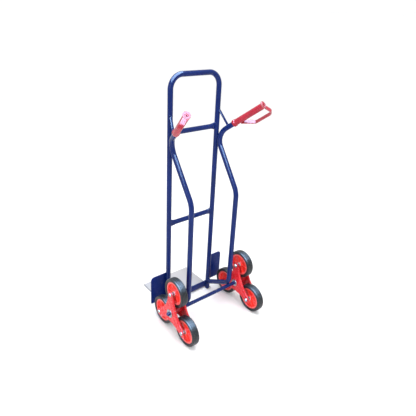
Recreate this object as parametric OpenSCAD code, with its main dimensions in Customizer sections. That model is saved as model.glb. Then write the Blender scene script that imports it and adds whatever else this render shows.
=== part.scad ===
// Stair-climbing hand truck: a bent tube frame with a toe plate, two rear tubes that carry
// the grips and the axle, and a three-wheel star at each end of the axle.
// The frame stands upright with its feet and four of its six wheels on the floor.

/* [Frame tubes] */
// Overall height of the main loop
frame_h = 1364; // [1200:4:1500]
// Distance between the centrelines of the two uprights
frame_w = 310; // [280:2:360]
// Outer diameter of the frame tubes
tube_d = 28; // [24:1:32]
// Wall thickness of the frame tubes
tube_wall = 1.5; // [1.2:0.1:2.5]
// Centreline bend radius of the loop's top corners
corner_r = 70; // [55:5:110]

/* [Crossbars] */
// Height of the upper crossbar
upper_bar_z = 1069; // [1040:1:1100]
// Height of the middle crossbar
middle_bar_z = 559; // [450:1:650]
// Diameter of the round crossbars
crossbar_d = 27; // [20:1:30]
// Height of a crossbar's flattened end
crossbar_end_h = 38; // [30:1:44]
// Length of the taper from the round part to the flattened end
crossbar_taper = 36; // [25:1:50]
// Height of the lower flat bar's middle
lower_bar_z = 43; // [30:1:60]
// Height of the lower flat bar
lower_bar_h = 40; // [20:1:50]
// Thickness of the lower flat bar
lower_bar_t = 5; // [4:1:8]

/* [Rear tubes] */
// Distance from the uprights back to the rear tubes
rear_y = 190; // [180:1:205]
// How far a rear tube stands nearer the middle than its upright
rear_inset = 3; // [0:0.5:6]
// Height at which a rear tube starts to lean forward
kink_z = 743; // [650:1:800]
// Height of the corner where a rear tube turns back into the handle
handle_corner_z = 1020; // [980:1:1060]
// How far behind the uprights' centreline that corner lies
handle_corner_y = 1.3; // [1:0.1:12]
// How far that corner lies outside the uprights' centreline
handle_corner_out = 1; // [0:0.5:4]
// Centreline bend radius at that corner
handle_bend_r = 76; // [60:1:90]
// Centreline bend radius of the kink
kink_r = 110; // [60:5:150]
// Centreline bend radius at the foot of a rear tube
foot_bend_r = 65; // [55:5:90]
// Slope of the link that runs down to the upright, in degrees
link_angle = 30.5; // [25:0.5:35]
// Rise of the handle above level, in degrees
handle_rise = 36.4; // [25:0.2:45]
// Outward splay of the handle, in degrees
handle_splay = 19; // [15:0.5:28]
// Length from the handle's corner to the grip
handle_run = 123; // [115:1:150]

/* [Brace straps] */
// Height of a strap's upper end on the upright
strap_top_z = 1170; // [1130:1:1180]
// Width of a strap
strap_w = 14; // [10:1:20]
// Thickness of a strap
strap_t = 4; // [3:0.5:6]
// Distance of the strap's lower end from the handle's corner
strap_foot = 88; // [80:1:100]

/* [Grips] */
// Length of a grip
grip_len = 195; // [150:1:205]
// Diameter of a grip
grip_d = 33; // [30:1:36]
// Diameter of the collar at the grip's start
grip_collar_d = 39; // [36:1:44]
// Length of that collar
grip_collar_len = 16; // [10:1:24]
// Diameter of the flange at the grip's end
grip_flange_d = 38; // [34:1:50]
// How far that flange stands above the grip's axis
grip_flange_lift = 3; // [0:0.5:5]
// Thickness of that flange
grip_flange_t = 7; // [5:1:12]
// Diameter of the screw hole in the grip's end
grip_hole_d = 8; // [5:0.5:10]
// Distance from the grip's axis to the middle of the knuckle guard
guard_reach = 62; // [50:1:75]
// Turn of the guard from straight down towards the outside, in degrees
guard_turn = 37; // [0:1:90]
// Width of the guard's band
guard_w = 24; // [12:1:30]
// Thickness of the guard's band
guard_t = 6; // [4:0.5:8]

/* [Toe plate] */
// Half width of the toe plate
toe_half_w = 172; // [172:1:190]
// Reach of the toe plate in front of the uprights' centreline
toe_reach = 252; // [200:1:300]
// Thickness of the toe plate's sheet
toe_t = 2.5; // [2:0.5:5]
// Height of the side bars the sheet lies on
toe_bar_h = 5.5; // [4:0.5:10]

/* [Wheel guards] */
// Distance from the middle of the truck to a guard's outer edge
wing_x = 265; // [240:1:270]
// Height of a guard's lower edge
wing_z0 = 52; // [40:1:90]
// Height of a guard's upper edge
wing_z1 = 233; // [200:1:260]
// Thickness of a guard
wing_t = 3; // [2:0.5:5]
// Radius of the outer top corner
wing_top_r = 22; // [8:1:40]
// Radius of the outer bottom corner
wing_low_r = 8; // [4:1:20]

/* [Wheels] */
// Wheel diameter
wheel_d = 160; // [150:1:164]
// Tyre width
tyre_w = 42; // [30:1:48]
// Diameter of the rim
rim_d = 125; // [110:1:130]
// Width of the rim
rim_w = 34; // [20:1:38]
// Number of ribs in a rim
rim_ribs = 6; // [4:1:10]
// Diameter of a wheel bolt's shank
wheel_bolt_d = 12; // [10:1:14]

/* [Stars] */
// Distance from the uprights back to the axle
axle_y = 194; // [184:1:212]
// Distance from the axle to each wheel's bolt
star_r = 120; // [115:1:125]
// Distance from the middle of the truck to the wheels' middle plane
wheel_x = 239; // [236:1:246]
// Width over the two plates of a star
star_w = 80; // [74:1:86]
// Thickness of a star plate
plate_t = 3; // [2.5:0.5:4]
// Depth of the plate's turned edges, plate included
flange_depth = 12; // [6:0.5:13]
// Radius of an arm's round end
arm_end_r = 20; // [18:1:24]
// Distance from the axle to the hollow between two arms
hollow_r = 54; // [48:1:60]
// Diameter of the hub tube
hub_d = 38; // [34:1:44]
// Diameter of the axle
axle_d = 20; // [16:1:22]
// Diameter of the washer outside each star
washer_d = 46; // [36:1:50]
// Diameter of the collar inside each star
collar_d = 40; // [30:1:44]

/* [Hidden] */

$fn = 64;
LEFT = 1;
RIGHT = -1;
TOP = 90;
REAR = -30;
FRONT = 210;

BOTH = [LEFT, RIGHT];
ARMS = [TOP, REAR, FRONT];

frame_blue = [0.12, 0.18, 0.46];
guard_blue = [0.06, 0.09, 0.30];
star_red = [0.85, 0.10, 0.13];
rim_red = [0.95, 0.16, 0.08];
grip_red = [0.80, 0.08, 0.16];
zinc = [0.78, 0.82, 0.86];
tyre_black = [0.10, 0.11, 0.13];
nylon_white = [0.88, 0.88, 0.84];
plate_grey = [0.84, 0.83, 0.84];

cut = 0.5;             // how far a cutting tool passes through a face
weld_gap = 0.05;       // between a coped end and the tube it is welded to
axle_gap = 0.3;        // between the axle and the bends it is welded to
run_gap = 0.05;        // radial clearance of a running fit
side_gap = 0.3;        // clearance between turning parts, along the axle
tube_r = tube_d / 2;
bore_r = tube_r - tube_wall;
post_x = frame_w / 2;
rear_x = post_x - rear_inset;
loop_top = frame_h - tube_r;

wheel_r = wheel_d / 2;
axle_r = axle_d / 2;
axle_z = wheel_r + star_r / 2;
wheel_reach = axle_y + star_r * cos(30) + wheel_r;
frame_y = (toe_reach - wheel_reach) / 2;

// The axle lies against the outside of the bend at the foot of each rear tube.
link_turn = 90 - link_angle;
foot_tangent = foot_bend_r * tan(link_turn / 2);
foot_rise = sqrt(pow(foot_bend_r + tube_r + axle_r + axle_gap, 2) - pow(foot_bend_r + axle_y - rear_y, 2));
foot_corner_z = axle_z + foot_rise - foot_tangent;
link_end_z = foot_corner_z - rear_y * tan(link_angle);

handle_dir = [sin(handle_splay) * cos(handle_rise), cos(handle_splay) * cos(handle_rise), sin(handle_rise)];
handle_corner = [post_x + handle_corner_out, handle_corner_y, handle_corner_z];
grip_start = handle_corner + handle_dir * handle_run;
grip_end_wall = 12;
tube_end = handle_corner + handle_dir * (handle_run + grip_len - grip_end_wall);

rear_route = [
    [post_x, 0, link_end_z],
    [rear_x, rear_y, foot_corner_z],
    [rear_x, rear_y, kink_z],
    handle_corner,
    tube_end
];
rear_radii = [0, foot_bend_r, kink_r, handle_bend_r, 0];
tube_sides = 32;
bend_step = 7.5;

foot_t = 3;            // what a foot plug adds below its tube
plug_len = 16;         // how far it goes up inside
crossbar_flat = 10;    // thickness of a crossbar's flattened end
flat_len = 12;         // length of that end
slice_t = 0.1;         // thickness of the thin sections a taper runs between
slice_fn = 32;

// Corners of the knuckle guard in its own plane, where X leads away from the grip and Y runs
// along it, and the radius of the bend at each.
guard_corners = [[14, 38], [guard_reach, 98], [guard_reach, 202], [15, 191]];
guard_radii = [0, 22, 16, 0];
guard_steps = 6;

toe_bar_t = toe_half_w - post_x - tube_r;
toe_back = -tube_r;

plate_out_x = wheel_x + star_w / 2;
plate_in_x = wheel_x - star_w / 2;
inside_w = star_w - 2 * plate_t;
hollow_arc_r = (pow(star_r, 2) - star_r * hollow_r + pow(hollow_r, 2) - pow(arm_end_r, 2))
    / (star_r - 2 * hollow_r + 2 * arm_end_r);
hollow_arc_c = hollow_r + hollow_arc_r;
// Direction, from an arm's end, of the point where its round end meets the hollow.
tangent_a = atan2(hollow_arc_c * sin(60), hollow_arc_c / 2 - star_r);
hollow_steps = 24;
arm_steps = 18;
washer_t = 3;
collar_t = 6;
axle_stub = 14;        // what the axle shows outside its washers
pin_d = 4;
pin_reach = 4;         // what a split pin shows above and below the axle
pin_eye_d = 7.2;
axle_end_x = plate_out_x + side_gap + washer_t + axle_stub;
pin_x = plate_out_x + side_gap + washer_t + pin_d / 2 + 0.4;
bush_od = 26;
hub_bush_len = 20;
wheel_hub_d = 34;
wheel_bush_od = 22;
wheel_bush_len = 32;
bolt_head_d = 21;
bolt_head_t = 7;
nut_flat = 19;
nut_t = 7;
nut_dome = 5;
spacer_d = 18;

wheel_fn = 96;
tyre_shoulder = 7;
seat_depth = 4;        // how far the tyre's narrow foot reaches up the rim
rim_wall = 7;
web_t = 7;
rib_t = 5;
rib_inset = 3;         // a rib stops this far short of the rim's edge
rib_root = 2;          // and starts this far inside the hub

// ---------- helpers ----------

// Children are moved from the uprights' frame to the truck's own frame.
module placed() translate([0, frame_y, 0]) children();

// Children drawn for the left side are mirrored for the right one.
module on_side(side) mirror([side < 0 ? 1 : 0, 0, 0]) children();

function unit(v) = v / norm(v);

// Turns and moves children so that their X, Y and Z follow ex, ey and ez from the point at.
module aligned(ex, ey, ez, at)
    multmatrix([
        [ex[0], ey[0], ez[0], at[0]],
        [ex[1], ey[1], ez[1], at[1]],
        [ex[2], ey[2], ez[2], at[2]],
        [0, 0, 0, 1]
    ]) children();

// A cylinder of radius r from a to b, with extra length at each end.
module rod(a, b, r, extra = 0) {
    z = unit(b - a);
    side_dir = abs(z[0]) < 0.9 ? [1, 0, 0] : [0, 1, 0];
    y = unit(cross(z, side_dir));
    aligned(cross(y, z), y, z, a - z * extra) cylinder(r = r, h = norm(b - a) + 2 * extra);
}

// A cylinder or a ring round the X axis, from x0 to x1.
module along_x(x0, x1, r) translate([x0, 0, 0]) rotate([0, 90, 0]) cylinder(r = r, h = x1 - x0);
module ring_x(x0, x1, r, bore) difference() {
    along_x(x0, x1, r);
    along_x(x0 - cut, x1 + cut, bore);
}

// Directions of a route's legs, and how each corner i turns from one leg to the next.
function heading(p, i) = unit(p[i + 1] - p[i]);
function turn(p, i) = acos(heading(p, i - 1) * heading(p, i));
function inward(p, i) =
    let (h = heading(p, i - 1), g = heading(p, i)) unit(g - h * (h * g));
function used(p, radii, i) = radii[i] * tan(turn(p, i) / 2);

// The vector v turned about the unit vector k.
function turned(v, k, a) = v * cos(a) + cross(k, v) * sin(a) + k * (k * v) * (1 - cos(a));

// Where a tube's rings lie round the bends from corner i on. Each is a centre and two
// directions across the tube, which turn with the bends and never twist.
function bend_rings(p, radii, i, x, y) = i == len(p) - 1 ? [[p[i], x, y]] :
    let (
        out = -inward(p, i) * radii[i],
        centre = p[i] - heading(p, i - 1) * used(p, radii, i) - out,
        k = cross(heading(p, i - 1), inward(p, i)),
        a = turn(p, i),
        steps = ceil(a / bend_step)
    )
    concat(
        [for (j = [0 : steps]) let (b = a * j / steps)
            [centre + turned(out, k, b), turned(x, k, b), turned(y, k, b)]],
        bend_rings(p, radii, i + 1, turned(x, k, a), turned(y, k, a)));

function ring_points(ring, r) = [for (j = [0 : tube_sides - 1]) let (a = 360 * j / tube_sides)
    ring[0] + r * (ring[1] * cos(a) + ring[2] * sin(a))];

// A hollow tube along a route: every ring holds its outer points and then its inner ones.
module route_tube(p, radii) {
    x = inward(p, 1);
    y = cross(heading(p, 0), x);
    rings = concat([[p[0], x, y]], bend_rings(p, radii, 1, x, y));
    n = tube_sides;
    last = len(rings) - 1;
    quads = [
        for (i = [0 : last - 1], j = [0 : n - 1]) let (a = 2 * n * i + j, b = 2 * n * i + (j + 1) % n)
            each [[a, b, b + 2 * n, a + 2 * n], [b + n, a + n, a + 3 * n, b + 3 * n]],
        for (j = [0 : n - 1]) let (k = (j + 1) % n, e = 2 * n * last)
            each [[j, j + n, k + n, k], [e + k, e + k + n, e + j + n, e + j]]
    ];
    polyhedron(
        points = [for (ring = rings) each concat(ring_points(ring, tube_r), ring_points(ring, bore_r))],
        faces = [for (q = quads) each [[q[0], q[2], q[1]], [q[0], q[3], q[2]]]],
        convexity = 10);
}

// The outside of an upright, used to cope what is welded to it.
module upright_space(side)
    translate([side * post_x, 0, -cut]) cylinder(r = tube_r + weld_gap, h = frame_h);

// ---------- frame ----------

module main_loop_tube() color(frame_blue) placed() difference() {
    loop_bar(tube_r, 0);
    loop_bar(bore_r, cut);
}
// The loop as a round bar of radius r: two uprights, two bends and the top.
module loop_bar(r, extra) {
    half_top = post_x - corner_r;
    translate([0, 0, loop_top]) along_x(-half_top, half_top, r);
    for (side = BOTH) on_side(side) {
        translate([post_x, 0, foot_t - extra]) cylinder(r = r, h = loop_top - corner_r - foot_t + extra);
        translate([half_top, 0, loop_top - corner_r]) rotate([90, 0, 0])
            rotate_extrude(angle = 90) translate([corner_r, 0]) circle(r = r);
    }
}

// A round crossbar whose ends are pressed flat and coped to the uprights.
module crossbar(z) color(frame_blue) placed() translate([0, 0, z])
    difference() {
        crossbar_solid(0);
        crossbar_solid(tube_wall);
        for (side = BOTH) translate([0, 0, -z]) upright_space(side);
    }
module crossbar_solid(inset) {
    round_len = frame_w / 2 - flat_len - crossbar_taper;
    round_d = crossbar_d - 2 * inset;
    flat_w = crossbar_flat - 2 * inset;
    flat_h = crossbar_end_h - 2 * inset;
    along_x(-round_len - slice_t / 2, round_len + slice_t / 2, round_d / 2);
    for (side = BOTH) on_side(side) {
        hull() {
            translate([round_len, 0, 0]) crossbar_slice(round_d, round_d, slice_t);
            translate([round_len + crossbar_taper, 0, 0]) crossbar_slice(flat_w, flat_h, slice_t);
        }
        translate([round_len + crossbar_taper, 0, 0]) crossbar_slice(flat_w, flat_h, flat_len + inset);
    }
}
// A slab across the crossbar with a round top and bottom.
module crossbar_slice(d, h, t) {
    for (z = [-1, 1]) translate([0, 0, z * (h - d) / 2]) rotate([0, 90, 0])
        cylinder(d = d, h = t, $fn = slice_fn);
    if (h > d) translate([0, -d / 2, (d - h) / 2]) cube([t, d, h - d]);
}
module upper_crossbar() crossbar(upper_bar_z);
module middle_crossbar() crossbar(middle_bar_z);

module lower_crossbar() color(guard_blue) placed() difference() {
    translate([-post_x, -lower_bar_t / 2, lower_bar_z - lower_bar_h / 2])
        cube([frame_w, lower_bar_t, lower_bar_h]);
    for (side = BOTH) upright_space(side);
}

module foot_plug(side) color(tyre_black) placed() translate([side * post_x, 0, 0]) {
    cylinder(r = tube_r, h = foot_t);
    cylinder(r = bore_r, h = foot_t + plug_len);
}

// A rear tube: link, foot bend, rear upright, lean, handle bend and handle.
module rear_tube(side) color(frame_blue) placed() on_side(side) difference() {
    route_tube(rear_route, rear_radii);
    upright_space(LEFT);
}

// A flat strap from the upright down to the handle, coped to both tubes.
module brace_strap(side) color(frame_blue) placed() on_side(side) {
    a = [post_x, 0, strap_top_z];
    b = handle_corner + handle_dir * strap_foot;
    along = unit(b - a);
    across = unit([1, 0, 0] - along * along[0]);
    difference() {
        aligned(across, along, cross(across, along), a) translate([-strap_w / 2, 0, -strap_t / 2])
            cube([strap_w, norm(b - a), strap_t]);
        upright_space(LEFT);
        rod(b - handle_dir * tube_d, b + handle_dir * tube_d, tube_r + weld_gap);
    }
}

// ---------- grips ----------

function dir(a) = [cos(a), sin(a)];
// Points round corner i of the guard's middle line, set off to its left by off.
function guard_bend(i, off) =
    let (
        p = guard_corners,
        h = unit(p[i] - p[i - 1]),
        g = unit(p[i + 1] - p[i]),
        s = sign(cross(h, g)),
        r = guard_radii[i],
        a = acos(h * g),
        left = [-h[1], h[0]],
        centre = p[i] - h * r * tan(a / 2) + left * s * r,
        a0 = atan2(-s * left[1], -s * left[0])
    )
    [for (k = [0 : guard_steps]) centre + (r - s * off) * dir(a0 + s * a * k / guard_steps)];
// The point off to the left of the guard's first corner (end = 0) or last one (end = 1).
function guard_tip(end, off) =
    let (i = end * (len(guard_corners) - 2), h = unit(guard_corners[i + 1] - guard_corners[i]))
    guard_corners[i + end] + off * [-h[1], h[0]];
function guard_side(off) = concat(
    [guard_tip(0, off)],
    [for (i = [1 : len(guard_corners) - 2]) each guard_bend(i, off)],
    [guard_tip(1, off)]);
module guard_band() {
    right = guard_side(-guard_t / 2);
    polygon(concat(guard_side(guard_t / 2), [for (i = [len(right) - 1 : -1 : 0]) right[i]]));
}

module grip(side) color(grip_red) placed() on_side(side) {
    level_out = unit(cross(handle_dir, [0, 0, 1]));
    straight_down = cross(handle_dir, level_out);
    down = straight_down[2] < 0 ? straight_down : -straight_down;
    aligned(down, cross(handle_dir, down), handle_dir, grip_start) difference() {
        union() {
            cylinder(d = grip_d, h = grip_len);
            cylinder(d = grip_collar_d, h = grip_collar_len);
            translate([-grip_flange_lift, 0, grip_len - grip_flange_t])
                cylinder(d = grip_flange_d, h = grip_flange_t);
            rotate(-guard_turn) rotate([90, 0, 0]) translate([0, 0, -guard_w / 2])
                linear_extrude(height = guard_w) guard_band();
        }
        translate([0, 0, -cut]) cylinder(r = tube_r, h = grip_len - grip_end_wall + cut);
        cylinder(d = grip_hole_d, h = grip_len + cut);
    }
}

// ---------- toe plate and wheel guards ----------

// The sheet lies on the side bars, and its front edge is turned down to the floor.
module toe_plate() color(plate_grey) placed() translate([-toe_half_w, -toe_reach, 0]) {
    translate([0, 0, toe_bar_h]) cube([2 * toe_half_w, toe_reach + toe_back, toe_t]);
    cube([2 * toe_half_w, toe_t, toe_bar_h + toe_t]);
}
module toe_side_bar(side) color(frame_blue) placed() on_side(side)
    translate([toe_half_w - toe_bar_t, toe_t - toe_reach, 0])
        cube([toe_bar_t, toe_reach - toe_t + tube_r, toe_bar_h]);

module wheel_guard(side) color(guard_blue) placed() on_side(side)
    translate([0, -tube_r, 0]) rotate([90, 0, 0]) linear_extrude(height = wing_t) difference() {
        translate([post_x, wing_z0]) square([wing_x - post_x, wing_z1 - wing_z0]);
        corner_waste([wing_x, wing_z1], [1, 1], wing_top_r);
        corner_waste([wing_x, wing_z0], [1, -1], wing_low_r);
    }
// What rounding a square corner takes away.
module corner_waste(at, out, r) difference() {
    translate([at[0] - (out[0] > 0 ? r : 0), at[1] - (out[1] > 0 ? r : 0)]) square(r);
    translate([at[0] - out[0] * r, at[1] - out[1] * r]) circle(r = r);
}

// ---------- axle ----------

module at_axle() placed() translate([0, axle_y, axle_z]) children();
module axle_bar() color(frame_blue) at_axle() difference() {
    along_x(-axle_end_x, axle_end_x, axle_r);
    for (side = BOTH) translate([side * pin_x, 0, 0])
        cylinder(d = pin_d, h = axle_d + 2 * cut, center = true);
}
module axle_collars() color(zinc) at_axle() for (side = BOTH) on_side(side)
    ring_x(plate_in_x - side_gap - collar_t, plate_in_x - side_gap, collar_d / 2, axle_r);
module axle_washers() color(zinc) at_axle() for (side = BOTH) on_side(side)
    ring_x(plate_out_x + side_gap, plate_out_x + side_gap + washer_t, washer_d / 2, axle_r);
module split_pins() color(zinc) at_axle() for (side = BOTH)
    translate([side * pin_x, 0, 0]) {
        cylinder(d = pin_d, h = axle_d + 2 * pin_reach, center = true);
        translate([0, 0, axle_r + pin_reach + pin_d / 2]) rotate([0, 90, 0])
            cylinder(d = pin_eye_d, h = pin_d, center = true);
    }

// ---------- stars ----------

// Positions of a star's three bolts, seen along the axle: X is rearward, Y is up.
module at_arms() for (a = ARMS) rotate(a) translate([star_r, 0]) children();
// Turns a drawing in that plane into a slab from x0 to x1 along the axle.
module slab(x0, x1)
    translate([x0, 0, 0]) rotate([90, 0, 90]) linear_extrude(height = x1 - x0) children();

function arc(c, r, a0, a1, steps) = [for (i = [0 : steps]) c + r * dir(a0 + (a1 - a0) * i / steps)];
function hollow_arc(a, grow) = arc(hollow_arc_c * dir(a + 60), hollow_arc_r + grow,
    a + tangent_a + 180, a - tangent_a + 300, hollow_steps);
function arm_end(a) = arc(star_r * dir(a), arm_end_r, a - tangent_a, a + tangent_a, arm_steps);
module star_outline() polygon([for (a = [REAR, TOP, FRONT]) each concat(arm_end(a), hollow_arc(a, 0))]);
module star_holes() {
    circle(r = bush_od / 2);
    at_arms() circle(d = wheel_bolt_d);
}
// Edges turned in along the three hollows.
module turned_edges() for (a = [REAR, TOP, FRONT]) {
    inner = hollow_arc(a, plate_t);
    polygon(concat(hollow_arc(a, 0), [for (i = [len(inner) - 1 : -1 : 0]) inner[i]]));
}
module star_plate(side, x0, x1, e0, e1) color(star_red) at_axle() on_side(side) {
    slab(x0, x1) difference() {
        star_outline();
        star_holes();
    }
    slab(e0, e1) turned_edges();
}
module star_outer_plate(side)
    star_plate(side, plate_out_x - plate_t, plate_out_x, plate_out_x - flange_depth, plate_out_x - plate_t / 2);
module star_inner_plate(side)
    star_plate(side, plate_in_x, plate_in_x + plate_t, plate_in_x + plate_t / 2, plate_in_x + flange_depth);
module star_hub_tube(side) color(star_red) at_axle() on_side(side)
    ring_x(plate_in_x + plate_t, plate_out_x - plate_t, hub_d / 2, bush_od / 2);
module star_hub_bushes(side) color(nylon_white) at_axle() on_side(side) {
    ring_x(plate_out_x - hub_bush_len, plate_out_x, bush_od / 2, axle_r + run_gap);
    ring_x(plate_in_x, plate_in_x + hub_bush_len, bush_od / 2, axle_r + run_gap);
}

// Children drawn about the axle's line are moved to one arm's bolt, or to all three.
module at_arm(side, a) at_axle() on_side(side)
    translate([0, star_r * cos(a), star_r * sin(a)]) children();
module at_each_arm(side) for (a = ARMS) at_arm(side, a) children();

// A dome of radius r that stands h out from the plane at x, towards -X where h is negative.
module dome_x(x, r, h) {
    ball_r = (r * r + h * h) / (2 * h);
    translate([x, 0, 0]) rotate([0, h > 0 ? 90 : -90, 0]) rotate_extrude() intersection() {
        translate([0, abs(h) - abs(ball_r)]) circle(r = abs(ball_r));
        square([r, abs(h)]);
    }
}
module wheel_bolts(side) color(zinc) at_each_arm(side) {
    along_x(plate_in_x - nut_t, plate_out_x, wheel_bolt_d / 2);
    dome_x(plate_out_x, bolt_head_d / 2, bolt_head_t);
}
module wheel_nuts(side) color(zinc) at_each_arm(side) difference() {
    union() {
        translate([plate_in_x - nut_t, 0, 0]) rotate([0, 90, 0])
            cylinder(d = nut_flat / cos(30), h = nut_t, $fn = 6);
        dome_x(plate_in_x - nut_t, nut_flat / 2 - 1, -nut_dome);
    }
    along_x(plate_in_x - nut_t, plate_in_x + cut, wheel_bolt_d / 2);
}
module wheel_spacers(side) color(zinc) at_each_arm(side) {
    bush_half = wheel_bush_len / 2 + side_gap;
    ring_x(plate_in_x + plate_t, wheel_x - bush_half, spacer_d / 2, wheel_bolt_d / 2);
    ring_x(wheel_x + bush_half, plate_out_x - plate_t, spacer_d / 2, wheel_bolt_d / 2);
}

// ---------- wheels ----------

// Half of a wheel part's profile is drawn with X as the radius and Y along the axle.
module wheel_turned(side, a) at_arm(side, a) translate([wheel_x, 0, 0]) rotate([0, 90, 0])
    rotate_extrude($fn = wheel_fn) children();

module tyre(side, a) color(tyre_black) wheel_turned(side, a) difference() {
    union() {
        translate([rim_d / 2, -tyre_w / 2]) square([wheel_r - rim_d / 2 - tyre_shoulder, tyre_w]);
        translate([rim_d / 2, -tyre_w / 2 + tyre_shoulder])
            square([wheel_r - rim_d / 2, tyre_w - 2 * tyre_shoulder]);
        for (s = [-1, 1]) translate([wheel_r - tyre_shoulder, s * (tyre_w / 2 - tyre_shoulder)])
            circle(r = tyre_shoulder);
    }
    for (s = [-1, 1]) translate([rim_d / 2 - cut, s * (tyre_w / 2 + rim_w / 2) / 2])
        square([seat_depth + cut, (tyre_w - rim_w) / 2], center = true);
}
module rim(side, a) color(rim_red) {
    wheel_turned(side, a) {
        translate([rim_d / 2 - rim_wall, -rim_w / 2]) square([rim_wall, rim_w]);
        translate([wheel_hub_d / 2 - cut, -web_t / 2])
            square([rim_d / 2 - rim_wall / 2 - wheel_hub_d / 2 + cut, web_t]);
        translate([wheel_bush_od / 2, -wheel_bush_len / 2 + 1])
            square([(wheel_hub_d - wheel_bush_od) / 2, wheel_bush_len - 2]);
    }
    rib_start = wheel_hub_d / 2 - rib_root;
    rib_len = rim_d / 2 - rim_wall / 2 - rib_start;
    at_arm(side, a) translate([wheel_x, 0, 0])
        for (i = [0 : rim_ribs - 1]) rotate([i * 360 / rim_ribs, 0, 0])
            translate([-rim_w / 2 + rib_inset, -rib_t / 2, rib_start])
                cube([rim_w - 2 * rib_inset, rib_t, rib_len]);
}
module wheel_bush(side, a) color(nylon_white) at_arm(side, a)
    ring_x(wheel_x - wheel_bush_len / 2, wheel_x + wheel_bush_len / 2,
        wheel_bush_od / 2, wheel_bolt_d / 2 + run_gap);

// ---------- nodes ----------

main_loop_tube();
upper_crossbar();
middle_crossbar();
lower_crossbar();
rear_tube(LEFT);  // rear_tube_left
rear_tube(RIGHT);  // rear_tube_right
brace_strap(LEFT);  // brace_strap_left
brace_strap(RIGHT);  // brace_strap_right
wheel_guard(LEFT);  // wheel_guard_left
wheel_guard(RIGHT);  // wheel_guard_right
toe_plate();
toe_side_bar(LEFT);  // toe_side_bar_left
toe_side_bar(RIGHT);  // toe_side_bar_right
foot_plug(LEFT);  // foot_plug_left
foot_plug(RIGHT);  // foot_plug_right
axle_bar();
axle_collars();
axle_washers();
split_pins();
grip(LEFT);  // grip_left
grip(RIGHT);  // grip_right
star_outer_plate(LEFT);  // star_outer_plate_left
star_inner_plate(LEFT);  // star_inner_plate_left
star_hub_tube(LEFT);  // star_hub_tube_left
star_hub_bushes(LEFT);  // star_hub_bushes_left
wheel_bolts(LEFT);  // wheel_bolts_left
wheel_nuts(LEFT);  // wheel_nuts_left
wheel_spacers(LEFT);  // wheel_spacers_left
star_outer_plate(RIGHT);  // star_outer_plate_right
star_inner_plate(RIGHT);  // star_inner_plate_right
star_hub_tube(RIGHT);  // star_hub_tube_right
star_hub_bushes(RIGHT);  // star_hub_bushes_right
wheel_bolts(RIGHT);  // wheel_bolts_right
wheel_nuts(RIGHT);  // wheel_nuts_right
wheel_spacers(RIGHT);  // wheel_spacers_right
tyre(LEFT, TOP);  // tyre_left_top
rim(LEFT, TOP);  // rim_left_top
wheel_bush(LEFT, TOP);  // wheel_bush_left_top
tyre(LEFT, REAR);  // tyre_left_rear
rim(LEFT, REAR);  // rim_left_rear
wheel_bush(LEFT, REAR);  // wheel_bush_left_rear
tyre(LEFT, FRONT);  // tyre_left_front
rim(LEFT, FRONT);  // rim_left_front
wheel_bush(LEFT, FRONT);  // wheel_bush_left_front
tyre(RIGHT, TOP);  // tyre_right_top
rim(RIGHT, TOP);  // rim_right_top
wheel_bush(RIGHT, TOP);  // wheel_bush_right_top
tyre(RIGHT, REAR);  // tyre_right_rear
rim(RIGHT, REAR);  // rim_right_rear
wheel_bush(RIGHT, REAR);  // wheel_bush_right_rear
tyre(RIGHT, FRONT);  // tyre_right_front
rim(RIGHT, FRONT);  // rim_right_front
wheel_bush(RIGHT, FRONT);  // wheel_bush_right_front
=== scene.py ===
"""Builds the visual model of a stair-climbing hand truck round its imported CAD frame.

Lengths are in metres. +X is the truck's left side, +Y its rear and +Z is up.
"""

import math

import bmesh
import bpy
import numpy as np
from mathutils import Matrix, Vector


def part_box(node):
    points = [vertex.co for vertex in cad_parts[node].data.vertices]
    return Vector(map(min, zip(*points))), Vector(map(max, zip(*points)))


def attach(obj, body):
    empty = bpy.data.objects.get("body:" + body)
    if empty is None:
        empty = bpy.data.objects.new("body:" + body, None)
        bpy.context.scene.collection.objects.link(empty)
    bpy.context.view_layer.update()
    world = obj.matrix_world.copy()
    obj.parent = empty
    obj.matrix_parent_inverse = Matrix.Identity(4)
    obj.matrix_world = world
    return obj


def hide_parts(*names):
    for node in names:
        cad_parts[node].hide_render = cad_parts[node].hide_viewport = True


bl_info = {
    "name": "Stair-climbing hand truck",
    "version": (1, 0, 0),
    "blender": (4, 5, 0),
    "location": "3D View > Sidebar > Hand truck",
    "description": "Painted tube frame, guarded grips and two three-wheel stars",
    "category": "Object",
}

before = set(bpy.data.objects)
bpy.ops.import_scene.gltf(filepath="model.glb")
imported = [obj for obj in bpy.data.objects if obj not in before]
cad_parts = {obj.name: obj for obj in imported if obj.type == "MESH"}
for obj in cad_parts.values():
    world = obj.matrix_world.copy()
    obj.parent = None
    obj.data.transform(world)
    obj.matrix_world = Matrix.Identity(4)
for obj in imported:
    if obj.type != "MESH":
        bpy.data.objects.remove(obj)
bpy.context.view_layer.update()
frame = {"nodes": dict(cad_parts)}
NODES = frame["nodes"]


def middle(node):
    """The middle of a CAD node's box."""
    lo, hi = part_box(node)
    return np.array((lo + hi) / 2)


# ---------- places and sizes of the frame ----------

SIDES = {"left": 1, "right": -1}
ARMS = {"top": 90, "rear": -30, "front": 210}
TUBE_R = 0.014
BORE_R = 0.0125
POST_X = 0.155
REAR_X = 0.152
UPRIGHT_Y = middle("main_loop_tube")[1]
REAR_Y = UPRIGHT_Y + 0.190
LOOP_TOP = 1.350
CORNER_R = 0.070
FOOT_Z = 0.003
UPPER_BAR_Z = middle("upper_crossbar")[2]
MIDDLE_BAR_Z = middle("middle_crossbar")[2]
LOWER_BAR_Z = middle("lower_crossbar")[2]
CROSSBAR_R = 0.0135

AXLE = middle("axle_washers") * (0, 1, 1)
AXLE_R = 0.010
STAR_R = 0.120
WHEEL_X = middle("tyre_left_top")[0]
PLATE_OUT_X = WHEEL_X + 0.040
PLATE_IN_X = WHEEL_X - 0.040
PLATE_T = 0.003
STAR_GAP = 0.0003

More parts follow.
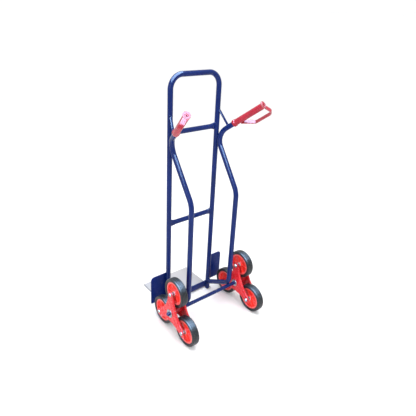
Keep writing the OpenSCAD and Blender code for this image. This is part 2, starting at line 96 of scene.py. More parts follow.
FOOT_BEND_R = 0.065
LINK_SLOPE = math.radians(30.5)
FOOT_RISE = math.sqrt((FOOT_BEND_R + TUBE_R + AXLE_R + 0.0003) ** 2 - (FOOT_BEND_R + AXLE[1] - REAR_Y) ** 2)
FOOT_CORNER_Z = AXLE[2] + FOOT_RISE - FOOT_BEND_R * math.tan((math.pi / 2 - LINK_SLOPE) / 2)
HANDLE_RISE, HANDLE_SPLAY = math.radians(36.4), math.radians(19)
HANDLE_DIR = np.array([
    math.sin(HANDLE_SPLAY) * math.cos(HANDLE_RISE),
    math.cos(HANDLE_SPLAY) * math.cos(HANDLE_RISE),
    math.sin(HANDLE_RISE),
])
HANDLE_CORNER = np.array([POST_X + 0.001, UPRIGHT_Y + 0.0013, 1.020])
GRIP_START = HANDLE_CORNER + HANDLE_DIR * 0.123
REAR_ROUTE = [
    (POST_X, UPRIGHT_Y, FOOT_CORNER_Z - (REAR_Y - UPRIGHT_Y) * math.tan(LINK_SLOPE)),
    (REAR_X, REAR_Y, FOOT_CORNER_Z),
    (REAR_X, REAR_Y, 0.743),
    HANDLE_CORNER,
    HANDLE_CORNER + HANDLE_DIR * 0.306,
]
REAR_RADII = [0, FOOT_BEND_R, 0.110, 0.076, 0]
STRAP_TOP = np.array([POST_X, UPRIGHT_Y, 1.170])
STRAP_FOOT = HANDLE_CORNER + HANDLE_DIR * 0.088
TOE_HALF_W = 0.172
TOE_BAR_T = 0.003
TOE_SHEET_T = 0.0025


# ---------- surfaces ----------

def unit(v):
    """Vectors scaled to length one."""
    v = np.asarray(v, float)
    return v / np.linalg.norm(v, axis=-1, keepdims=True)


def wave(start, stop, count):
    """Angles from start to stop in degrees, as count + 1 values in radians."""
    return np.radians(np.linspace(start, stop, count + 1))


def smooth(t):
    """An even start and finish between 0 and 1: 3 t squared less 2 t cubed."""
    t = np.clip(t, 0, 1)
    return t * t * (3 - 2 * t)


def route(corners, radii, steps=8, closed=False):
    """Points and headings along straight legs joined by arcs. An arc of radius r at a turn of a
    starts r tan(a/2) before its corner. At angle b it is r sin b ahead and r (1 - cos b) inward."""
    p = np.asarray(corners, float)
    count = len(p)
    radii = np.broadcast_to(radii, count)
    points, headings = [], []
    if not closed:
        points.append(p[:1])
        headings.append(unit(p[1:2] - p[:1]))
    for i in range(count) if closed else range(1, count - 1):
        h, g = unit(p[i] - p[i - 1]), unit(p[(i + 1) % count] - p[i])
        a = math.acos(np.clip(h @ g, -1, 1))
        if a < 1e-5 or radii[i] == 0:
            points.append(p[i:i + 1])
            headings.append(unit(h + g)[None])
            continue
        inward = unit(g - h * (h @ g))
        b = np.linspace(0, a, steps + 1)[:, None]
        start = p[i] - h * radii[i] * math.tan(a / 2)
        points.append(start + radii[i] * (np.sin(b) * h + (1 - np.cos(b)) * inward))
        headings.append(np.cos(b) * h + np.sin(b) * inward)
    if not closed:
        points.append(p[-1:])
        headings.append(unit(p[-1:] - p[-2:-1]))
    return np.concatenate(points), np.concatenate(headings)


def circle(r, count):
    """count points at equal angles, r from the middle."""
    a = np.arange(count) * math.tau / count
    return r * np.stack([np.cos(a), np.sin(a)], -1)


def rounded_rectangle(width, height, r, steps=3):
    """The outline of a rectangle whose corners are arcs of radius r."""
    x, y = width / 2, height / 2
    return route([(-x, -y), (x, -y), (x, y), (-x, y)], r, steps, closed=True)[0]


def swept(path, ahead, across, section):
    """A section carried along a path. Its first number goes along a direction that starts as
    across and never twists about the path, its second at right angles to that and the heading."""
    path, ahead, side, sides = np.asarray(path, float), unit(ahead), np.asarray(across, float), []
    for h in ahead:
        side = unit(side - h * (side @ h))
        sides.append(side)
    x = np.array(sides)
    y = np.cross(ahead, x)
    section = np.broadcast_to(section, (len(path), *np.shape(section)[-2:]))
    return path[:, None] + section[..., :1] * x[:, None] + section[..., 1:] * y[:, None]


def turned(profile, origin, axis, count, closed=False):
    """A profile of (distance along the axis, distance from it) carried round the axis."""
    axis = unit(axis)
    e = unit(np.cross(axis, (0, 0, 1) if abs(axis[2]) < 0.9 else (1, 0, 0)))
    a = wave(0, 360, count)
    ring = np.cos(a)[:, None] * e + np.sin(a)[:, None] * np.cross(axis, e)
    profile = np.asarray(profile, float)
    if closed:
        profile = np.concatenate([profile, profile[:1]])
    along, out = profile[:, :1, None], profile[:, 1:, None]
    return np.asarray(origin, float) + along * axis + out * ring


def ring_profile(x0, x1, bore, r, bevel):
    """The section of a flat ring from x0 to x1, with its four corners rounded."""
    corners = [(x0, bore), (x0, r), (x1, r), (x1, bore)]
    return route(corners, [bevel / 2, bevel, bevel, bevel / 2], 3, closed=True)[0]


def onto_tube(points, direction, at, axis, r):
    """Where lines from the points along a direction first meet a cylinder: with m and d the
    parts of the offset and the direction square to the axis, |m + t d| = r."""
    axis, direction = unit(axis), unit(direction)
    m = points - at
    m = m - (m @ axis)[..., None] * axis
    d = direction - (direction @ axis) * axis
    a, b = d @ d, m @ d
    c = np.sum(m * m, -1) - r * r
    t = (-b - np.sqrt(np.maximum(b * b - a * c, 0))) / a
    return points + t[..., None] * direction


def evenly(curve, spacing, closed):
    """The same curve with points at equal distances."""
    if closed:
        curve = np.concatenate([curve, curve[:1]])
    s = np.concatenate([[0], np.cumsum(np.linalg.norm(np.diff(curve, axis=0), axis=1))])
    t = np.linspace(0, s[-1], max(int(s[-1] / spacing), 8) + 1)
    return np.stack([np.interp(t, s, curve[:, i]) for i in range(3)], -1)


def bead(curve, out, r=0.0022, closed=True, pitch=0.0030):
    """A weld bead: a circle carried along a curve, whose radius rises by a fifth over each pitch
    and falls back, as a puddle freezes. An open run thins out at its ends."""
    p = evenly(np.asarray(curve, float), 0.0009, closed)
    s = np.arange(len(p)) * np.linalg.norm(p[1] - p[0])
    size = r * (0.92 + 0.2 * (s / pitch % 1))
    if closed:
        size[-1] = size[0]
        q = np.concatenate([p[-2:-1], p, p[1:2]])
        ahead = q[2:] - q[:-2]
    else:
        size *= np.sqrt(np.clip(np.minimum(s, s[-1] - s) / (1.5 * r), 0.02, 1))
        ahead = np.gradient(p, axis=0)
    return swept(p, ahead, out, size[:, None, None] * circle(1, 10))


class Surface:
    """Grids of points that become one mesh."""

    def __init__(self):
        self.points, self.quads, self.wear, self.count = [], [], [], 0

    def add(self, points, around=False, capped=False, wear=0.0):
        """Adds a grid p[u, v] with a face in every cell. around joins the last column to the
        first, and capped closes both ends with a point in the middle of their rings."""
        points = np.asarray(points, float)
        wear = np.array(np.broadcast_to(wear, points.shape[:2]), float)
        if around:
            points = np.concatenate([points, points[:, :1]], 1)
            wear = np.concatenate([wear, wear[:, :1]], 1)
        if capped:
            rings = points[0, :-1], points[-1, :-1]
            ends = [np.broadcast_to(row.mean(0), row.shape)[None] for row in rings]
            ends = [np.concatenate([e, e[:, :1]], 1) for e in ends]
            points = np.concatenate([ends[0], points, ends[1]])
            wear = np.concatenate([wear[:1] * 0, wear, wear[-1:] * 0])
        rows, cols = points.shape[:2]
        i = self.count + np.arange(rows * cols).reshape(rows, cols)
        self.quads.append(np.stack([i[:-1, :-1], i[1:, :-1], i[1:, 1:], i[:-1, 1:]], -1).reshape(-1, 4))
        self.points.append(points.reshape(-1, 3))
        self.wear.append(wear.ravel())
        self.count += rows * cols
        return self

    def build(self, name, slot, body, *stands_for, crease=38):
        """The finished piece in its slot's finish: seams merged, normals outward, soft except
        across sharp edges. It rides on a body and stands for the CAD nodes named."""
        mesh = bpy.data.meshes.new(name)
        mesh.from_pydata(np.concatenate(self.points), [], np.concatenate(self.quads))
        mesh.attributes.new("wear", "FLOAT", "POINT").data.foreach_set("value", np.concatenate(self.wear))
        work = bmesh.new()
        work.from_mesh(mesh)
        bmesh.ops.remove_doubles(work, verts=work.verts, dist=2e-6)
        bmesh.ops.dissolve_degenerate(work, edges=work.edges, dist=1e-6)
        bmesh.ops.recalc_face_normals(work, faces=work.faces)
        work.to_mesh(mesh)
        work.free()
        mesh.polygons.foreach_set("use_smooth", np.ones(len(mesh.polygons), bool))
        mesh.set_sharp_from_angle(angle=math.radians(crease))
        mesh.materials.append(finish_of(slot))
        piece = bpy.data.objects.new(name, mesh)
        bpy.context.scene.collection.objects.link(piece)
        if body is None:
            return piece
        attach(piece, body)
        if stands_for:
            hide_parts(*stands_for)
        return piece


def sheet_plate(outline, thickness, edge, place):
    """A flat plate with rounded edges: rows run from the middle of one face to the outline, round
    the edge and back to the middle of the other. place turns (across, up, depth) into X, Y, Z."""
    ahead = np.roll(outline, -1, 0) - np.roll(outline, 1, 0)
    out = unit(np.stack([ahead[:, 1], -ahead[:, 0]], -1))
    a, b = wave(0, 90, 3), wave(90, 180, 3)
    inset = np.concatenate([1 - np.sin(a), 1 - np.sin(b)]) * edge
    depth = np.concatenate([edge * (1 - np.cos(a)), thickness - edge * (1 + np.cos(b))])
    core = outline.mean(0)
    rows = [np.broadcast_to(core, outline.shape)]
    rows += [core + f * (outline - edge * out - core) for f in (0.5, 0.9)]
    rows += [outline - i * out for i in inset]
    rows += [core + f * (outline - edge * out - core) for f in (0.9, 0.5)]
    rows += [rows[0]]
    depth = np.concatenate([[0, 0, 0], depth, [thickness] * 3])
    flat = np.stack([np.concatenate([r, np.full((len(r), 1), d)], 1) for r, d in zip(rows, depth)])
    wear = np.zeros(len(rows))
    wear[3:-3] = 1
    return place(flat), wear[:, None]


# ---------- materials ----------

class Value:
    """A shader socket that takes part in arithmetic. Each operator adds one Math node."""

    def __init__(self, shade, socket):
        self.shade, self.socket = shade, socket

    def __add__(self, other):
        return self.shade.maths("ADD", self, other)

    def __sub__(self, other):
        return self.shade.maths("SUBTRACT", self, other)

    def __rsub__(self, other):
        return self.shade.maths("SUBTRACT", other, self)

    def __mul__(self, other):
        return self.shade.maths("MULTIPLY", self, other)

    def __truediv__(self, other):
        return self.shade.maths("DIVIDE", self, other)

    def __pow__(self, other):
        return self.shade.maths("POWER", self, other)

    __radd__, __rmul__ = __add__, __mul__


class Shade:
    """A material under construction."""

    def __init__(self, name, colour):
        self.material = bpy.data.materials.new(name)
        self.material.use_nodes = True
        self.material.diffuse_color = (*colour[:3], 1)
        self.tree = self.material.node_tree
        self.tree.nodes.clear()
        self.surface = self.tree.nodes.new("ShaderNodeBsdfPrincipled")
        output = self.tree.nodes.new("ShaderNodeOutputMaterial")
        self.tree.links.new(self.surface.outputs[0], output.inputs[0])
        self.place = self.node("ShaderNodeTexCoord", out="Object")

    def put(self, socket, value):
        """Links a socket to a Value, or sets it."""
        if isinstance(value, Value):
            self.tree.links.new(value.socket, socket)
        else:
            socket.default_value = value

    def node(self, kind, settings=None, sockets=None, out=0):
        """Adds a node: its settings are made first, then its sockets are set or linked."""
        made = self.tree.nodes.new(kind)
        for key, value in (settings or {}).items():
            setattr(made, key, value)
        for key, value in (sockets or {}).items():
            self.put(made.inputs[key], value)
        return Value(self, made.outputs[out])

    def maths(self, operation, a, b):
        return self.node("ShaderNodeMath", {"operation": operation}, {0: a, 1: b})

    def noise(self, scale, detail=3.0, stretch=None, rough=0.5):
        """Noise from 0 to 1 with scale features to the metre."""
        at = self.place
        if stretch:
            at = self.node("ShaderNodeMapping", None, {"Vector": at, "Scale": stretch})
        wanted = {"Vector": at, "Scale": scale, "Detail": detail, "Roughness": rough}
        return self.node("ShaderNodeTexNoise", None, wanted)

    def band(self, value, low, high):
        """0 below low, 1 above high, smooth between them."""
        wanted = {"Value": value, "From Min": low, "From Max": high}
        return self.node("ShaderNodeMapRange", {"interpolation_type": "SMOOTHSTEP"}, wanted)

    def blend(self, mask, a, b):
        """Colour a where the mask is 0 and b where it is 1."""
        a, b = (c if isinstance(c, Value) else (*c[:3], 1) for c in (a, b))
        return self.node("ShaderNodeMix", {"data_type": "RGBA"}, {0: mask, 6: a, 7: b}, out=2)

    def wear(self):
        """The mesh's own mark of exposed edges, from 0 to 1."""
        return self.node("ShaderNodeAttribute", {"attribute_name": "wear"}, out="Fac")

    def height(self):
        """Height above the floor."""
        return self.node("ShaderNodeSeparateXYZ", None, {0: self.place}, out=2)

    def relief(self, height, distance, normal=None):
        """Bumps of the given height, stacked on any that are there already."""
        wanted = {"Height": height, "Distance": distance}
        if normal:
            wanted["Normal"] = normal
        return self.node("ShaderNodeBump", None, wanted)

    def finished(self, **sockets):
        """Sets the surface's sockets, named with underscores for spaces."""
        for key, value in sockets.items():
            name = key.replace("_", " ")
            if name == "Base Color" and not isinstance(value, Value):
                value = (*value[:3], 1)
            self.put(self.surface.inputs[name], value)
        return self.material


def shade_of(colour, factor):
    """A colour made darker or lighter."""
    return tuple(min(c * factor, 1.0) for c in colour[:3])


DUST = (0.42, 0.40, 0.37)
BARE_STEEL = (0.45, 0.46, 0.48)


def enamel(name, colour, gloss, wear_level, mirror=0.5):
    """Stoved enamel on steel: the film's thickness drifts, its skin is like orange peel, and it
    is rubbed through to the metal in specks along exposed edges. Dust lies on it near the floor.
    mirror sets how strongly the film reflects."""
    s = Shade(name, colour)
    drift = s.noise(7.0, 3.0)
    cloud = s.noise(38.0, 4.0)
    chips = s.band(s.wear() * s.noise(260.0, 5.0, rough=0.65), wear_level, wear_level + 0.05)
    dust = s.band(s.noise(120.0, 6.0, rough=0.7), 0.50, 0.72) * (1 - s.band(s.height(), 0.02, 0.42)) * 0.12
    paint = s.blend(s.band(drift, 0.3, 0.7), shade_of(colour, 0.86), shade_of(colour, 1.12))
    paint = s.blend(s.band(cloud, 0.62, 0.8) * 0.25, paint, shade_of(colour, 1.5))
    paint = s.blend(dust, paint, DUST)
    peel = s.relief(s.noise(330.0, 2.0), 0.00005)
    return s.finished(
        Base_Color=s.blend(chips, paint, BARE_STEEL),
        Roughness=gloss + 0.06 * cloud + 0.9 * dust + 0.2 * chips,
        Metallic=chips * 0.85,
        Specular_IOR_Level=mirror,
        Normal=s.relief(chips * -1.0, 0.0002, peel),
    )


def moulded(name, colour, gloss, grain, dusty, mirror=0.5):
    """Moulded plastic: flow marks in the colour, a fine spark-eroded grain and dust in scattered patches."""
    s = Shade(name, colour)
    flow = s.noise(26.0, 3.0, stretch=(1.0, 1.0, 0.35))
    dust = s.band(s.noise(150.0, 6.0, rough=0.7), 0.5, 0.75) * dusty
    tone = s.blend(s.band(flow, 0.3, 0.7), shade_of(colour, 0.88), shade_of(colour, 1.1))
    rub = s.band(s.wear() * s.noise(180.0, 4.0), 0.36, 0.5)
    tone = s.blend(rub * 0.35, tone, tuple(0.65 * c + 0.3 for c in colour[:3]))
    return s.finished(
        Base_Color=s.blend(dust, tone, DUST),
        Roughness=gloss + 0.10 * s.noise(90.0, 3.0) + 0.5 * dust,
        Specular_IOR_Level=mirror,
        Normal=s.relief(s.noise(grain, 2.0), 0.00008),
    )


def rubber(name, colour):
    """Moulded solid rubber: a dull skin with fine pits, bloom that greys it in patches, and dust
    that stays on the tread."""
    s = Shade(name, colour)
    bloom = s.band(s.noise(22.0, 4.0), 0.42, 0.72)
    dust = s.band(s.noise(210.0, 5.0, rough=0.7), 0.52, 0.74) * (0.10 + 0.30 * s.wear())
    tone = s.blend(bloom, colour, shade_of(colour, 1.7))
    pits = s.relief(s.noise(900.0, 2.0), 0.00012)
    return s.finished(
        Base_Color=s.blend(dust, tone, shade_of(DUST, 0.6)),
        Roughness=0.34 + 0.12 * bloom + 0.3 * dust,
        Specular_IOR_Level=0.4,
        Normal=s.relief(s.noise(60.0, 4.0), 0.00025, pits),
    )


def plated(name, colour):
    """Bright zinc plating: a faint blue and straw bloom over fine drawn lines."""
    s = Shade(name, colour)
    tint = s.band(s.noise(70.0, 3.0), 0.35, 0.65)
    grime = s.band(s.noise(240.0, 6.0, rough=0.7), 0.56, 0.75) * (0.35 + 0.3 * s.wear())
    tone = s.blend(tint, (0.28, 0.31, 0.35), (0.34, 0.33, 0.30))
    return s.finished(
        Base_Color=s.blend(grime, tone, (0.30, 0.30, 0.30)),
        Metallic=1.0,
        Roughness=0.24 + 0.10 * tint + 0.35 * grime,
        Normal=s.relief(s.noise(500.0, 3.0, stretch=(4.0, 1.0, 1.0)), 0.00008),
    )


def rolled_sheet(name, colour):
    """Bare rolled sheet: faint rolling lines across the plate, scuffs where loads slide on and
    off, and duller edges."""
    s = Shade(name, colour)
    lines = s.noise(55.0, 3.0, stretch=(0.06, 6.0, 1.0))
    scuffs = s.band(s.noise(28.0, 6.0, stretch=(5.0, 0.5, 1.0), rough=0.75), 0.58, 0.74)
    stain = s.band(s.noise(9.0, 4.0), 0.45, 0.75)
    tone = s.blend(stain, colour, shade_of(colour, 0.86))
    tone = s.blend(scuffs * 0.30, tone, shade_of(colour, 0.68))
    return s.finished(
        Base_Color=s.blend(s.wear() * 0.25, tone, shade_of(colour, 0.7)),
        Metallic=0.10,
        Roughness=0.40 + 0.15 * stain + 0.15 * lines + 0.1 * scuffs,
        Normal=s.relief(lines * 0.6 - scuffs * 0.5, 0.00015),
    )


def natural_nylon(name, colour):
    """Turned nylon: slightly waxy, with fine lathe lines and smudges of grease."""
    s = Shade(name, colour)
    grease = s.band(s.noise(160.0, 4.0), 0.55, 0.72)
    return s.finished(
        Base_Color=s.blend(grease * 0.5, colour, shade_of(colour, 0.4)),
        Roughness=0.42 - 0.15 * grease,
        Subsurface_Weight=0.15,
        Subsurface_Radius=(0.004, 0.004, 0.003),
        Subsurface_Scale=0.5,
        Normal=s.relief(s.noise(700.0, 2.0, stretch=(6.0, 1.0, 1.0)), 0.00006),
    )


def pale_floor(name, colour):
    """A matt studio floor with barely visible drifts of tone."""
    s = Shade(name, colour)
    drift = s.band(s.noise(0.8, 3.0), 0.3, 0.7)
    return s.finished(
        Base_Color=s.blend(drift, colour, shade_of(colour, 0.985)),
        Roughness=0.75,
        Specular_IOR_Level=0.2,
    )


# ---------- settings ----------

def colour_setting(name, description, default):
    """A colour that the panel shows, in linear light."""
    return bpy.props.FloatVectorProperty(
        name=name, description=description, default=default,
        subtype="COLOR", size=3, min=0.0, max=1.0,
    )


def length_setting(name, description, default, low, high):
    """A length that the panel shows, in metres."""
    return bpy.props.FloatProperty(
        name=name, description=description, default=default,
        min=low, max=high, subtype="DISTANCE", unit="LENGTH", precision=4,
    )


class TruckColours(bpy.types.PropertyGroup):
    """Colours of the truck's finishes."""

    frame: colour_setting("Frame", "Enamel on the tubes", (0.001, 0.013, 0.110))
    guards: colour_setting("Guards", "Enamel on the wheel guards and the lower bar", (0.001, 0.013, 0.125))
    stars: colour_setting("Stars", "Enamel on the pressed star plates", (0.680, 0.014, 0.022))
    rims: colour_setting("Rims", "Plastic of the wheel rims", (0.860, 0.028, 0.014))
    grips: colour_setting("Grips", "Plastic of the grips", (0.360, 0.010, 0.028))
    tyres: colour_setting("Tyres", "Solid rubber", (0.004, 0.0055, 0.008))
    zinc: colour_setting("Zinc", "Plating on bolts, nuts and washers", (0.75, 0.79, 0.84))
    sheet: colour_setting("Sheet", "Bare sheet of the toe plate", (0.45, 0.42, 0.41))
    nylon: colour_setting("Nylon", "Bushes", (0.76, 0.75, 0.70))
    plugs: colour_setting("Plugs", "Plugs in the tube ends", (0.02, 0.02, 0.022))
    floor: colour_setting("Floor", "Studio floor", (0.95, 0.95, 0.95))


class TruckSizes(bpy.types.PropertyGroup):
    """Sizes of the details that the frame leaves open."""

    bead: length_setting("Weld bead", "Radius of the weld beads", 0.0022, 0.001, 0.004)
    sheet_edge: length_setting("Sheet edge", "Rounding along the edges of flat steel", 0.0009, 0.0003, 0.0014)
    star_bend: length_setting("Star bend", "Outer radius of a star plate's turned edges", 0.0046, 0.0032, 0.006)
    tread_groove: length_setting("Tread groove", "Depth of the grooves round a tyre", 0.0015, 0.0005, 0.003)
    grip_flute: length_setting("Grip flute", "Depth of the flutes along a grip", 0.0005, 0.0, 0.001)
    segments: bpy.props.IntProperty(
        name="Segments", description="Facets round a tube", default=48, min=24, max=96
    )


class TruckStudio(bpy.types.PropertyGroup):
    """Light and camera."""

    azimuth: bpy.props.FloatProperty(
        name="Azimuth", description="Direction of view, clockwise from the toe plate's side",
        default=math.radians(144.4756), subtype="ANGLE",
    )
    elevation: bpy.props.FloatProperty(
        name="Elevation", description="Height of the camera above level",
        default=math.radians(22.5457), subtype="ANGLE",
    )
    roll: bpy.props.FloatProperty(
        name="Roll", description="Turn of the camera about its own line of sight",
        default=math.radians(0.7707), subtype="ANGLE",
    )
    lens: bpy.props.FloatProperty(
        name="Lens", description="Focal length on a 36 mm sensor, in millimetres", default=32.71, min=10.0
    )
    sky: bpy.props.FloatProperty(name="Sky", description="Strength of the even light", default=1.05, min=0.0)
    key: bpy.props.FloatProperty(name="Key", description="Power of the overhead light", default=80.0, min=0.0)
    fill: bpy.props.FloatProperty(name="Fill", description="Power of the side light", default=30.0, min=0.0)
    sheen: bpy.props.FloatProperty(
        name="Sheen", description="Power of the overhead panel seen in gloss", default=2400.0, min=0.0
    )


def finish_of(name):
    """A finish by its slot's name, made when it is first asked for. The frame's own plain
    materials hold the bare slot names, so a finish has a name of its own."""
    made = bpy.data.materials.get(name + "_finish")
    if made:
        return made
    c = bpy.context.scene.truck_colours
    recipes = {
        "frame_blue": lambda: enamel(name, c.frame, 0.08, 0.60, 0.22),
        "guard_blue": lambda: enamel(name, c.guards, 0.30, 0.58, 0.12),
        "star_red": lambda: enamel(name, c.stars, 0.24, 0.60, 0.3),
        "rim_red": lambda: moulded(name, c.rims, 0.30, 520.0, 0.10),
        "grip_red": lambda: moulded(name, c.grips, 0.22, 640.0, 0.04, 0.35),
        "tyre": lambda: rubber(name, c.tyres),
        "zinc": lambda: plated(name, c.zinc),
        "toe_plate": lambda: rolled_sheet(name, c.sheet),
        "nylon": lambda: natural_nylon(name, c.nylon),
        "black_plastic": lambda: moulded(name, c.plugs, 0.45, 600.0, 0.25),
        "floor": lambda: pale_floor(name, c.floor),
    }
    made = recipes[name]()
    made.name = name + "_finish"
    return made


# ---------- the frame's pieces ----------

def loop_tube(segments):
    """The main loop: a hollow circle carried up one upright, over two bends and down the other."""
    y = UPRIGHT_Y
    corners = [(-POST_X, y, FOOT_Z), (-POST_X, y, LOOP_TOP), (POST_X, y, LOOP_TOP), (POST_X, y, FOOT_Z)]
    path, ahead = route(corners, [0, CORNER_R, CORNER_R, 0], 24)
    outer = swept(path, ahead, (0, 1, 0), circle(TUBE_R, segments))
    inner = swept(path, ahead, (0, 1, 0), circle(BORE_R, segments))
    return Surface().add(np.concatenate([outer, inner[::-1], outer[:1]]), around=True)


def rear_tube(side, segments):
    """A rear tube: a hollow circle carried along the link, the foot bend, the upright, the kink and
    the handle. The link's end is cut to the round of the frame's upright."""
    path, ahead = route(REAR_ROUTE, REAR_RADII, 20)
    skins = []
    for r in (TUBE_R, BORE_R):
        skin = swept(path, ahead, (1, 0, 0), circle(r, segments))
        skin[0] = onto_tube(skin[0] + ahead[0] * 0.1, -ahead[0], REAR_ROUTE[0], (0, 0, 1), TUBE_R)
        skins.append(skin)
    outer, inner = skins
    rows = np.concatenate([outer, inner[::-1], outer[:1]]) * (side, 1, 1)
    return Surface().add(rows, around=True)


def crossbar_section(flatness, count=48):
    """The section of a round bar pressed flat by degrees. Across the bar the radius goes from
    13.5 to 5 mm; up the bar it becomes 5 sin v plus 14 mm times sin v held within limits."""
    v = np.arange(count) * math.tau / count
    hold = np.clip(2.4 * np.sin(v), -1, 1)
    hold = hold * (1.5 - 0.5 * hold**2)
    round_y, round_z = CROSSBAR_R * np.cos(v), CROSSBAR_R * np.sin(v)
    flat_y, flat_z = 0.005 * np.cos(v), 0.005 * np.sin(v) + 0.014 * hold
    f = np.asarray(flatness)[:, None]
    return np.stack([round_y + (flat_y - round_y) * f, round_z + (flat_z - round_z) * f], -1)


def crossbar(z, segments):
    """A crossbar whose section is pressed flat towards its coped ends."""
    reach = POST_X - 0.012
    x = np.concatenate([np.linspace(0, reach - 0.036, 3), np.linspace(reach - 0.035, reach, 16)])
    flatness = smooth((x - (reach - 0.036)) / 0.034)
    x, flatness = np.concatenate([-x[:0:-1], x]), np.concatenate([flatness[:0:-1], flatness])
    section = crossbar_section(flatness, segments)
    rows = np.zeros((len(x), segments, 3))
    rows[..., 0] = x[:, None]
    rows[..., 1] = UPRIGHT_Y + section[..., 0]
    rows[..., 2] = z + section[..., 1]
    for row, sign in ((0, -1), (-1, 1)):
        centre = (sign * POST_X, UPRIGHT_Y, z)
        rows[row] = onto_tube(rows[row], (sign, 0, 0), centre, (0, 0, 1), TUBE_R)
    return Surface().add(rows, around=True, capped=True)


def flat_bar(start, end, across, width, thickness, edge):
    """A flat bar with rounded long edges: a rectangle with arcs at its corners, carried along."""
    start, end = np.asarray(start, float), np.asarray(end, float)
    ahead = unit(end - start)
    section = rounded_rectangle(width, thickness, edge)
    near, far = ahead * edge * 0.4, ahead * edge
    path = np.stack([start, start + near, start + far, end - far, end - near, end])
    shrink = np.array([edge, edge * 0.3, 0, 0, edge * 0.3, edge])
    scale = 1 - 2 * shrink[:, None] / np.array([width, thickness])
    sections = section[None] * scale[:, None]
    rows = swept(path, np.broadcast_to(ahead, path.shape), across, sections)
    near_edge = np.abs(np.abs(section[:, 0]) - width / 2) < edge
    return rows, near_edge[None] * np.ones((len(path), 1))


def strap(side, edge):
    """A brace strap between the upright and the handle, let in to the skin of both tubes."""
    ahead = unit(STRAP_FOOT - STRAP_TOP)
    across = unit(np.array([1.0, 0, 0]) - ahead * ahead[0])
    level = math.hypot(ahead[0], ahead[1])
    slant = np.linalg.norm(np.cross(ahead, HANDLE_DIR))
    start = STRAP_TOP + ahead * (TUBE_R - 0.0006) / level
    end = STRAP_FOOT - ahead * (TUBE_R - 0.0006) / slant
    rows, wear = flat_bar(start, end, across, 0.014, 0.004, edge)
    return Surface().add(rows * (side, 1, 1), around=True, capped=True, wear=wear)


def lower_bar(edge):
    """The flat bar across the feet."""
    half = POST_X - TUBE_R + 0.0006
    at = np.array([0, UPRIGHT_Y, LOWER_BAR_Z])
    rows, wear = flat_bar(at - (half, 0, 0), at + (half, 0, 0), (0, 0, 1), 0.040, 0.005, edge)
    return Surface().add(rows, around=True, capped=True, wear=wear)


def wheel_guard(side, edge):
    """A guard plate: a rectangle with rounded corners, welded across the front of the upright."""
    lo, hi = (np.array(c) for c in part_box("wheel_guard_left"))
    corners = [(lo[0], lo[2]), (hi[0], lo[2]), (hi[0], hi[2]), (lo[0], hi[2])]
    outline = route(corners, [0.002, 0.008, 0.022, 0.002], 10, closed=True)[0]

    def place(p):
        return np.stack([side * p[..., 0], lo[1] + p[..., 2], p[..., 1]], -1)

    rows, wear = sheet_plate(outline, hi[1] - lo[1], edge, place)
    return Surface().add(rows, around=True, wear=wear)


def toe_sheet(edge):
    """The toe plate: a sheet whose front edge is turned down. Its section, level across the
    sheet and round the bend of the lip, is carried from side to side, and closed at both."""
    lo, hi = (np.array(c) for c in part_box("toe_plate"))
    (half, back, top), (front, foot) = hi, lo[1:]
    lip, under = front + TOE_SHEET_T, top - TOE_SHEET_T
    corners = [(back, top), (front, top), (front, foot), (lip, foot), (lip, under), (back, under)]
    outline, heading = route(corners, [edge, 0.004, edge, edge, 0.0018, edge], 5, closed=True)
    inward = np.stack([-heading[:, 1], heading[:, 0]], -1)
    stations = [(half, 0.8 * edge), (half - 0.3 * edge, 0.3 * edge), (half - edge, 0)]
    stations += [(half * f, 0) for f in (0.5, 0, -0.5)] + [(-x, d) for x, d in stations[::-1]]
    rows = np.stack([
        np.concatenate([np.full((len(outline), 1), x), outline + inward * inset], 1)
        for x, inset in stations
    ])
    worn = np.array([[1.0], [1], [1], [0], [0], [0], [1], [1], [1]]) * 0.8
    at_edge = (outline[:, 0] < front + 0.004) | (outline[:, 0] > back - 0.002)
    return Surface().add(rows, around=True, capped=True, wear=np.maximum(worn, at_edge[None] * 1.0))


def toe_bar(side, edge):
    """A flat bar on edge beside the toe plate, from its front to the frame's foot."""
    lo, hi = (np.array(c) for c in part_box("toe_side_bar_left"))
    mid = (lo + hi) / 2
    rows, wear = flat_bar((mid[0], lo[1], mid[2]), (mid[0], hi[1], mid[2]), (0, 0, 1),
                          hi[2] - lo[2], hi[0] - lo[0], edge)
    return Surface().add(rows * (side, 1, 1), around=True, capped=True, wear=wear)


def foot_plug(side):
    """A plug in the foot of an upright: a rounded foot below the tube and a ribbed stem in it."""
    profile = [(0, 0), (0, 0.010)]
    a = wave(0, 90, 6)
    profile += list(np.stack([0.0028 * (1 - np.cos(a)), 0.0110 + 0.0029 * np.sin(a)], -1))
    profile += [(0.003, 0.0124)]
    for step in range(3):
        z = 0.004 + step * 0.004
        profile += [(z, 0.0118), (z + 0.0006, 0.0123), (z + 0.0020, 0.0123), (z + 0.0026, 0.0118)]
    profile += [(0.0178, 0.0116), (0.019, 0.0106), (0.019, 0)]
    return Surface().add(turned(profile, (side * POST_X, UPRIGHT_Y, 0), (0, 0, 1), 40))


def axle_bar(segments):
    """The axle: a round bar with chamfered, slightly domed ends."""
    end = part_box("axle_bar")[1][0]
    half = [(end, 0), (end - 0.0001, 0.004), (end - 0.0003, 0.0086), (end - 0.0014, 0.0098),
            (end - 0.002, AXLE_R), (0.2, AXLE_R)]
    profile = half + [(-x, r) for x, r in half[::-1]]
    wear = np.zeros(len(profile))
    wear[[2, 3, 4, -5, -4, -3]] = 1
    return Surface().add(turned(profile, AXLE, (1, 0, 0), segments), wear=wear[:, None])


def axle_rings(spans, r, bevel):
    """Flat rings with rounded corners on the axle, one for each span (x0, x1)."""
    surface = Surface()
    for x0, x1 in spans:
        ring = ring_profile(x0, x1, AXLE_R, r, bevel)
        surface.add(turned(ring, AXLE, (1, 0, 0), 64, closed=True))
    return surface


